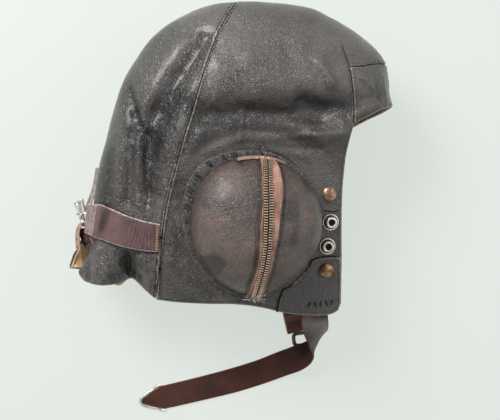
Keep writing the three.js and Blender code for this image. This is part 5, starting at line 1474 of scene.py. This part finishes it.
for side_name, right in SIDES:
    rows = curtain_right_rows if right else curtain_left_rows
    grid, out_way, ripple, fold, v = curtain_grid(rows, right)
    # Painted shade in the fold valleys and ripples, painted highlight on their ridges.
    masks = {"fold": ease((-fold * v - 1.0 - 2 * ripple) / 5.0), "rub": ease((fold * v + 1.5 * ripple - 0.2) / 3.0),
             "crackle": 0.35 + 0.5 * ease((noise(grid[..., 0], grid[..., 1], 14.0) + 0.3) / 0.6),
             "edge": np.minimum((1 - v) * 45 + 0.3, np.linspace(0, 62, len(v))[:, None] + 0.3)}
    order = -1 if (grid_normals(grid)[3, 3] * out_way[3, 3]).sum() > 0 else 1
    add_piece(f"neck_curtain_{side_name}", (grid.reshape(-1, 3), grid_faces(*v.shape)[:, ::order]),
              [curtain_finish, flesh_finish, tan_finish], [f"curtain_{side_name}"], masks, leather, 1)
    if right:
        pitch, length, radius = thick_thread
        seam_path = resample(np.hstack([grid[5], out_way[5]]), pitch)
        seam_middle = (seam_path[1:] + seam_path[:-1]) / 2
        seam = copies(bead(length, radius), seam_middle[:, :3] + 0.2 * seam_middle[:, 3:],
                      np.diff(seam_path[:, :3], axis=0), seam_middle[:, 3:])
        add_piece("curtain_stitches", seam, [dark_thread_finish])
    grid, out_way, ripple, fold, v = curtain_grid(rows, right, lift=-leather - 0.5, low=0.25, high=0.985, first=0.09,
                                                  peek=0.1 if right else 0.0)
    add_piece(f"curtain_lining_cloth_{side_name}", (grid.reshape(-1, 3), grid_faces(*v.shape)[:, ::order]),
              [lining_finish], [f"curtain_lining_{side_name}"], wall=1.0)
    print("curtain", side_name, "grid of", v.shape)


# %% [markdown]
# ## Straps
#
# A strap is flat leather with a grain side and a rougher flesh side. One section with rounded
# edges is carried along a line of stations. Each station has a middle point, the direction of the
# width, and its share of the full width.

# %% Ribbon
strap_leather = 1.8


def ribbon(name, stations, wide, grain, flesh, grain_up, steps, bumps, edge_finish=None, sheen_from=1e9):
    """Closed strap along stations of (middle, width direction, share); bumps adds height along and across."""
    middle = even_line([s[0] for s in stations], steps)
    side = even_line([unit(np.asarray(s[1], float)) for s in stations], steps)
    share = np.interp(np.linspace(0, len(stations) - 1, steps + 1), range(len(stations)), [s[2] for s in stations])
    ahead = unit(np.gradient(middle, axis=0))
    side = unit(side - ahead * (side * ahead).sum(axis=1, keepdims=True))
    up = np.cross(ahead, side)
    half_wide, half_thick = wide / 2 * share, strap_leather / 2
    flat = np.linspace(-1, 1, 13)
    bend = np.linspace(np.pi / 2, -np.pi / 2, 7)[1:-1]
    reach = half_wide[:, None] - half_thick
    across = np.hstack([flat * reach, reach + half_thick * np.cos(bend), -flat * reach,
                        -reach - half_thick * np.cos(bend)])
    lift = np.broadcast_to(np.concatenate([np.ones(13), np.sin(bend), -np.ones(13), -np.sin(bend)]) * half_thick,
                           across.shape)
    run = distance_run(middle)[:, None]
    bump = bumps(run, across)
    grid = middle[:, None] + side[:, None] * across[..., None] + up[:, None] * (lift + bump)[..., None]
    count = across.shape[1]
    ends = np.stack([grid[0].mean(axis=0), grid[-1].mean(axis=0)])
    points = np.vstack([grid.reshape(-1, 3), ends])
    quads = grid_faces(steps + 1, count, wrap=True)
    column = np.tile(np.arange(count), steps)
    top_side = column < 12
    low_side = (column >= 18) & (column < 30)
    grain_side, flesh_side = (top_side, low_side) if grain_up > 0 else (low_side, top_side)
    which = np.where(grain_side, 0, np.where(flesh_side, 1, 2))
    triangles = np.vstack([quads[:, [0, 1, 2]], quads[:, [0, 2, 3]]])
    j = np.arange(count)
    k = (j + 1) % count
    tail = steps * count
    caps = np.vstack([np.stack([j, np.full(count, tail + count), k], axis=1),
                      np.stack([tail + j, tail + k, np.full(count, tail + count + 1)], axis=1)])
    rim = half_wide[:, None] - np.abs(across)
    wave = bump / max(float(np.abs(bump).max()), 1e-6)
    pad = lambda values: np.concatenate([values.ravel(), [0, 0]])
    # Past that run the edge mask drops, so that the worn colour paints the sheen of the strap where it turns away
    # round the back.
    turned_away = ease((run - sheen_from) / 4)
    rim = np.minimum(rim, 9 - 8.25 * turned_away)
    # Painted shade in the wrinkles' hollows, painted highlight on their tops.
    masks = {"edge": pad(rim), "fold": pad(np.clip(-wave * 1.2, 0, 1)), "rub": pad(np.clip(wave, 0, 1))}
    piece = make_mesh(name, points, np.vstack([triangles, caps])[:, ::-1], [grain, flesh, edge_finish or flesh], masks,
                      np.concatenate([which, which, np.full(2 * count, 2)]))
    print(name, "length", round(float(run[-1, 0])), "mm")
    return piece, middle, side, up


# %% Chin strap with its metal tip
chin_wide = 24
chin_rows = [
    (0.68, -0.8, 0.9, 1, 0, -0.2, 1), (0.69, -1.03, 0.86, 1, 0, -0.25, 1), (0.73, -1.2, 0.7, 0.93, 0.1, -0.45, 1),
    (0.775, -1.33, 0.46, 0.62, 0.15, -0.78, 1), (0.76, -1.44, 0.26, 0.05, 0.15, -1, 1),
    (0.68, -1.53, 0.18, -0.3, 0.5, -0.75, 1), (0.53, -1.62, 0.15, -0.38, 0.85, -0.3, 1),
    (0.32, -1.71, 0.06, -0.36, 0.93, -0.03, 1), (0.06, -1.81, 0.015, -0.33, 0.94, 0, 0.98),
    (-0.28, -1.91, 0.015, -0.26, 0.96, 0, 0.98), (-0.65, -2.0, 0.015, -0.24, 0.97, 0, 0.95),
    (-1.22, -2.125, 0.015, -0.2, 0.98, 0, 0.92), (-1.49, -2.175, 0.015, -0.17, 0.99, 0, 0.16),
]
hem_height = float(right_skin(0.68 * flap_front, -flap_drop)) - leather - strap_leather
lie_height = strap_leather / 2 + seam_gap


def chin_station(row):
    """Middle, width direction and share: under the flap's leather first, then down to the surface."""
    x, y = row[0] * flap_front, row[1] * flap_drop
    under = float(right_skin(x, y)) - leather - strap_leather / 2 - 3 * seam_gap
    z = under if row[2] > 0.8 else max(row[2] * hem_height, lie_height)
    return (x, y, z), row[3:6], row[6]


chin_stations = [chin_station(row) for row in chin_rows]
curl = lambda run, across: 0.25 * noise(run, across * 2, 16.0) * ease((150 - run) / 60)
chin_piece = ribbon("chin_strap_leather", chin_stations, chin_wide, strap_finish, flesh_finish, 1, 260, curl)[0]
ride_root(chin_piece, ["chin_strap"])

tip_thick, tip_radius = 2.6, 1.25
tip_back, tip_front = np.array(chin_stations[-2][0]), np.array(chin_stations[-1][0])
tip_ahead = (tip_front - tip_back)[:2]
tip_length = float(np.linalg.norm(tip_ahead))
tip_ahead = tip_ahead / tip_length
tip_across = np.array([-tip_ahead[1], tip_ahead[0]])
wide_end = chin_wide / 2 * chin_stations[-2][2] + seam_gap
narrow_end = chin_wide / 2 * chin_stations[-1][2] + seam_gap
half_rim = [
    (-0.06, wide_end + 0.75), (0.06, wide_end + 0.65), (0.35, 0.7 * wide_end + 0.3 * narrow_end + 0.5),
    (0.7, 0.35 * wide_end + 0.65 * narrow_end + 0.9), (0.98, narrow_end + 0.9), (1.045, 0.45 * narrow_end + 0.3),
]
rim_line = even_line(half_rim + [(a, -b) for a, b in half_rim[::-1]], 90)
rim_path = tip_back[:2] + rim_line[:, :1] * tip_length * tip_ahead + rim_line[:, 1:] * tip_across
rim_path = np.column_stack([rim_path, np.full(len(rim_path), tip_thick / 2)])
add_piece("chin_strap_metal_tip", tube(rim_path, tip_radius, 12), [steel_finish], ["chin_strap_tip"])
print("metal tip:", round(tip_length), "mm long")

# %% Short tab of the far side with its ring
tab_wide = 25
tab_rows = [(0.52, -0.86, 0.75), (0.53, -1.04, 0.66), (0.55, -1.12, 0.42), (0.58, -1.23, 0.17), (0.6, -1.3, 0.13)]
left_hem = float(left_skin(0.48 * flap_front, -flap_drop))
tab_stations = []
for share_x, share_y, share_z in tab_rows:
    x, y = share_x * flap_front, share_y * flap_drop
    within = float(left_skin(x, y)) + leather + strap_leather / 2 + 3 * seam_gap
    tab_stations.append(((x - 1.0, y, within if share_z > 0.6 else share_z * left_hem), (1, 0.1, 0), 1.1))
tab_bumps = lambda run, across: 0.3 * noise(run * 1.5, across, 8.0)
tab_piece = ribbon("chin_tab_leather", tab_stations, tab_wide, suede_finish, suede_finish, 1, 80, tab_bumps,
                   tan_finish)[0]
ride_root(tab_piece, ["chin_tab"])


def rounded_loop(wide, deep, steps=14):
    """Closed path of a rectangle with round corners."""
    radius = 0.32 * min(wide, deep)
    angle = np.linspace(0, np.pi / 2, steps)
    corners = []
    for quarter, (sx, sy) in enumerate([(1, 1), (-1, 1), (-1, -1), (1, -1)]):
        turned = angle + quarter * np.pi / 2
        corners.append(np.stack([sx * (wide / 2 - radius) + radius * np.cos(turned),
                                 sy * (deep / 2 - radius) + radius * np.sin(turned)], axis=1))
    return np.vstack(corners)


def flat_ring(wide, deep, bar, thick, sides=14):
    """Closed bent bar: an oval section carried round a rounded rectangle, lying on z = 0."""
    path = rounded_loop(wide - bar, deep - bar)
    ahead = unit(np.roll(path, -1, axis=0) - np.roll(path, 1, axis=0))
    outward = np.stack([ahead[:, 1], -ahead[:, 0]], axis=1)
    angle = np.linspace(0, 2 * np.pi, sides, endpoint=False)
    push = lambda v: np.sign(v) * np.abs(v) ** 0.8
    xy = path[:, None] + outward[:, None] * (push(np.cos(angle)) * bar / 2)[None, :, None]
    z = np.broadcast_to(thick / 2 + push(np.sin(angle)) * thick / 2, xy.shape[:2])
    points = np.concatenate([xy, z[..., None]], axis=-1).reshape(-1, 3)
    faces = grid_faces(len(path) + 1, sides, wrap=True) % len(points)
    return points, faces[:, ::-1]


ring_wide, ring_deep, ring_thick, ring_bar, ring_tilt = 20, 15, 2.4, 3.6, 0.13
points, faces = flat_ring(ring_wide, ring_deep, ring_bar, ring_thick)
tab_end = np.array(tab_stations[-1][0])
ring_at = np.array([tab_end[0] + 1, tab_end[1] - ring_deep / 2 - 2.5 * seam_gap, seam_gap])
add_piece("chin_ring_bar", (points @ spin_by(ring_tilt).T + ring_at, faces), [dull_finish], ["chin_ring"])

# %% Nape straps
rear_wide = 25.5
rear_rows = [(-0.55, -0.05, 1.15, 1, 0.93), (-0.66, -0.04, 1.3, 0.8, 0.98), (-0.77, -0.018, 2.6, 0, 1.04),
             (-0.87, 0.01, 2.6, 0, 1.1), (-0.91, 0.02, 2.6, 0, 1.14)]


def rear_stations(right):
    """Stations from the side seam round the back: they stand off the leather and follow its slope."""
    skin = skins[right]
    found = []
    for share_x, share_y, stand, seated, share in rear_rows:
        x, y = share_x * back_reach, share_y * crown_height
        slope = slopes(skin, x, y, 2)[0]
        out_way = np.array([-slope, 0, 1]) / math.hypot(slope, 1) * (1 if right else -1)
        at = np.array([x, y, float(skin(x, y))]) + out_way * (stand + strap_leather / 2)
        rise = slopes(skin, x, y, 0.45 * rear_wide)[1]
        found.append((at, (0.13, 1, rise * seated), share))
    for share_x, height in ((1.012, 1.22 if right else 0.68), (1.032, 1.06 if right else 0.88)):
        found.append(((-share_x * back_reach, 0.03 * crown_height, height * ridge_height), (0.1, 1, 0), 1.0))
    return found


def strap_wrinkles(sign):
    """Wrinkles across the strap near its sewn end, and soft waves along it."""
    def bumps(run, across):
        near = ease((34 - run) / 12) * ease(run / 5)
        fine_lines = np.sin(run * 1.9 + 2.5 * noise(run, across, 9.0)) * 0.14 * near
        grains = 0.1 * creases(run * 0.7, across, 2.2) * ease((48 - run) / 20) * ease(run / 6)
        return sign * (fine_lines + grains + 0.3 * noise(run, across * 0.6, 11.0) * ease(run / 8))
    return bumps


# From this run on, the nape strap's end is painted pale as the sheen where it turns round the back.
sheen_from_run = 62.0                                    # mm along the strap
nape_lines = {}
for side_name, right in SIDES:
    sign = -1 if right else 1
    piece, *nape_lines[side_name] = ribbon(f"nape_strap_{side_name}", rear_stations(right), rear_wide, strap_finish,
                                           flesh_finish, sign, 200, strap_wrinkles(sign), strap_finish, sheen_from_run)
    ride_root(piece, [f"rear_strap_{side_name}"])

# %% [markdown]
# The nape strap passes through a steel buckle that stands nearly on edge in the photograph. It is a
# bent bar, so one section is carried round a rounded rectangle. The small leathers are short ribbons.

# %% Buckle and small leathers at the back
buckle_tall, buckle_wide, frame_bar, buckle_thick, buckle_lean = 24, 15, 2.4, 2.2, 0.24
buckle_height = 0.97 * ridge_height
buckle_at = np.array([-1.053 * back_reach - strap_leather / 2 - seam_gap, 0.055 * crown_height, buckle_height])
stand_up = np.array([[0, 0, -1], [0, 1, 0], [1, 0, 0]], float)
buckle_turn = spin_by(buckle_lean) @ stand_up
points, faces = flat_ring(buckle_wide, buckle_tall, frame_bar, buckle_thick)
add_piece("buckle_frame", (points @ buckle_turn.T + buckle_at, faces), [steel_finish], ["rear_buckle"])
reach = np.linspace(-1, 1, 30)
prong_path = np.stack([reach * (buckle_wide + 3) / 2, 0 * reach, buckle_thick + 1 + seam_gap + 0.2 * reach ** 2],
                      axis=1)
prong_radius = np.clip(np.sqrt(1 - np.abs(reach) ** 12), 0.05, 1)
prong = tube(prong_path @ buckle_turn.T + buckle_at, prong_radius, 12, buckle_turn[:, 2])
add_piece("buckle_prong", prong, [steel_finish], ["rear_prong"])

eye_x, eye_y = in_side_view(85.5, 217.5, ridge_height)
eye_angle = np.linspace(0, 2 * np.pi, 41)
eye_path = np.stack([eye_x + 3.4 * np.cos(eye_angle), eye_y + 4.0 * np.sin(eye_angle),
                     buckle_height + 8.0 + 1.5 * np.cos(eye_angle)], axis=1)


def buckle_bar(across, down, radius, height):
    """Straight bar between points of the photograph, growing a little thicker from its first end to its last."""
    x, y = in_side_view(np.linspace(*across, 24), np.linspace(*down, 24), ridge_height)
    return tube(np.stack([x, y, np.full(24, height)], axis=1), radius * np.linspace(0.9, 1.1, 24) ** 2, 12)


bar_height = buckle_height + 7.5
eye = joined([tube(eye_path, 1.2, 12), buckle_bar((82.5, 85.5), (198.5, 214.5), 1.8, bar_height),
              buckle_bar((74.5, 80.5), (202.0, 211.5), 1.0, bar_height - 1.0)])
add_piece("buckle_eye", eye, [steel_finish])
print("buckle:", buckle_wide, "by", buckle_tall, "mm")

small_leathers = [
    ("rear_tail", 0.55, 0.4, [(-1.067, 0.005), (-1.084, -0.02), (-1.088, -0.065), (-1.08, -0.115)], bar_finish,
     "suede"),
    ("rear_keeper", 0.51, 1.3, [(-1.0515, -0.012), (-1.045, -0.04), (-1.03, -0.07), (-1.015, -0.095)], strap_finish,
     "strap_leather"),
    ("rear_tab", 0.59, 0.45, [(-0.9615, 0.26), (-0.982, 0.175), (-1.01, 0.115), (-1.035, 0.07)], grey_finish,
     "cap_leather"),
]
for small_name, share, tilt, places, finish, slot in small_leathers:
    stations = [((x * back_reach, y * crown_height, ridge_height), (tilt, 0.25 * tilt, 1), 1) for x, y in places]
    small = ribbon(f"{small_name}_leather", stations, share * rear_wide, finish, finish, 1, 60,
                   lambda run, across: 0.15 * noise(run * 2, across, 7.0), finish)[0]
    ride_root(small, [small_name])

# %% [markdown]
# ## The other seams
#
# The brow band, the dart over the temple and the hem are sewn in the same way. Five slanting hand
# stitches close the corner of the cheek, as the photograph shows.

# %% Other seams
def add_thread(name, shape, finish=dark_thread_finish):
    """A piece of thread, which has no solid of its own."""
    return add_piece(name, shape, [finish])


beside_dart, beside_hem, beside_brow = 1.9, -2.4, 2.2
low_lift = 0.05
sewn_brow = brow_seam[:, 0] < 0.88 * brow_reach
seam_rows = []
for right in (True, False):
    for line in (temple_seam, brow_seam[sewn_brow]):
        seam_rows.append(stitch_row(shifted(line, beside_dart), *fine_thread, right))
for line, beside in ((hem[3:-1], beside_hem), (face_edge[8:-2], beside_hem), (brow_hem[1:13], beside_brow)):
    seam_rows.append(stitch_row(shifted(line, beside), *hem_thread, True, low_lift))
add_thread("hem_stitches", joined(seam_rows))

corner_height, post_height, dart_height, tack_height = 82.0, 88.0, 104.0, 100.0
hand_x, hand_y = in_side_view([309, 314.5, 320.5, 326.5, 332], [303.5, 303, 303.5, 303, 302.5], corner_height)
hand_spots, hand_out = leather_spot(hand_x, hand_y, True, patch_lift + 0.25)
hand_ahead = np.array([(0.45, 1, 0), (-0.5, 1, 0), (0.1, 1, 0), (-0.45, 1, 0), (0.4, 1, 0)])
add_thread("cheek_hand_stitches", copies(bead(7.0, 0.8, 8, 9), hand_spots, hand_ahead, hand_out))
print("rows of stitches:", len(seam_rows), "hand stitches:", len(hand_spots))

# %% [markdown]
# Where two leathers meet, the real seam is filled by the turned edges and shows as a dark line. A
# thin dark roll in each join does the same here, so that no light falls through it.

# %% Cords in the joins
dart = np.stack(in_side_view([341, 344.5, 348.6], [46, 57, 69], dart_height), axis=1)
post_strip = np.stack(in_side_view([323, 331, 338.5], [210.5, 211.5, 210.5], post_height), axis=1)
patch_line = patch_edge[(patch_edge[:, 0] < 0.985 * flap_front) & (patch_edge[:, 1] > -0.985 * flap_drop)]
above_foot = inside_crown[inside_crown[:, 1] > seam_foot[1] + 1]
under_crown = above_foot[above_foot[:, 1] < 0.87 * crown_height]
temple_depth = -0.7
# The thicker roll along the cheek patch's edge paints the shadow under that edge.
cords = [seam_cord(smooth_line(dart, 20), 0.45, 0.05), seam_cord(smooth_line(post_strip, 20), 0.5, 0.1),
         seam_cord(patch_line, 0.95, 0.6), seam_cord(above_foot, cord_radius, cord_depth),
         seam_cord(temple_seam, cord_radius, temple_depth),
         seam_cord(brow_seam[brow_seam[:, 0] < 0.9 * brow_reach], cord_radius, temple_depth),
         crown_roll, seam_cord(under_crown, cord_radius, cord_depth, False)]
add_thread("seam_and_shadow_cords", joined(cords))
bar_ends = np.stack(in_side_view([345.5, 357], [56.5, 56.5], tack_height), axis=1)
add_thread("dart_bar_tack", stitch_row(bar_ends, 2.2, 1.7, 0.35))

nape_middle, nape_side, nape_up = nape_lines["right"]
end_rows = []
end_share, end_stitches = 0.42, 9
for station in (2, 4):
    reach = np.linspace(-end_share, end_share, end_stitches + 1)[:, None] * rear_wide
    spots = nape_middle[station] + nape_side[station] * reach - nape_up[station] * (strap_leather / 2 + 0.1)
    end_rows.append(copies(bead(2.3, 0.5), (spots[1:] + spots[:-1]) / 2, spots[1:] - spots[:-1],
                           np.broadcast_to(-nape_up[station], (end_stitches, 3))))
add_thread("strap_end_stitches", joined(end_rows), tan_thread_finish)
print("cords:", len(cords), "rows at the strap's end:", len(end_rows))


# %% [markdown]
# ## Surface and light
#
# The photograph shows a pale, faintly green-white surface with hardly a shadow. A bright even sky
# gives that, and one wide soft lamp from the upper left models the folds and the dome.

# %% Surface and light
floor_mesh = bpy.data.meshes.new("surface")
floor_half = 6.0
floor_mesh.from_pydata([(-floor_half, -floor_half, 0), (floor_half, -floor_half, 0), (floor_half, floor_half, 0),
                        (-floor_half, floor_half, 0)], [], [(0, 1, 2, 3)])
floor = bpy.data.objects.new("surface", floor_mesh)
floor_mesh.materials.append(floor_finish)
bpy.context.scene.collection.objects.link(floor)

bpy.context.scene.view_settings.view_transform = "Standard"
world = bpy.data.worlds.new("even sky")
bpy.context.scene.world = world
world.use_nodes = True
sky = world.node_tree.nodes["Background"]
sky.inputs["Color"].default_value = (0.94, 0.97, 0.95, 1)
sky.inputs["Strength"].default_value = 0.58


def soft_lamp(name, at, towards, size, energy, colour):
    """Square area lamp at a place in metres, turned to look at another place."""
    data = bpy.data.lights.new(name, "AREA")
    data.size = size
    data.energy = energy
    data.color = colour
    lamp = bpy.data.objects.new(name, data)
    lamp.location = at
    look = Vector(towards) - Vector(at)
    lamp.rotation_euler = look.to_track_quat("-Z", "Y").to_euler()
    bpy.context.scene.collection.objects.link(lamp)
    return lamp


soft_lamp("window", (-0.56, 0.66, 0.85), (0.0, 0.04, 0.06), 0.5, 19.0, (1.0, 0.99, 0.97))
soft_lamp("far_window", (0.75, 0.2, 0.7), (0.0, 0.0, 0.06), 0.8, 3.0, (0.97, 0.99, 1.0))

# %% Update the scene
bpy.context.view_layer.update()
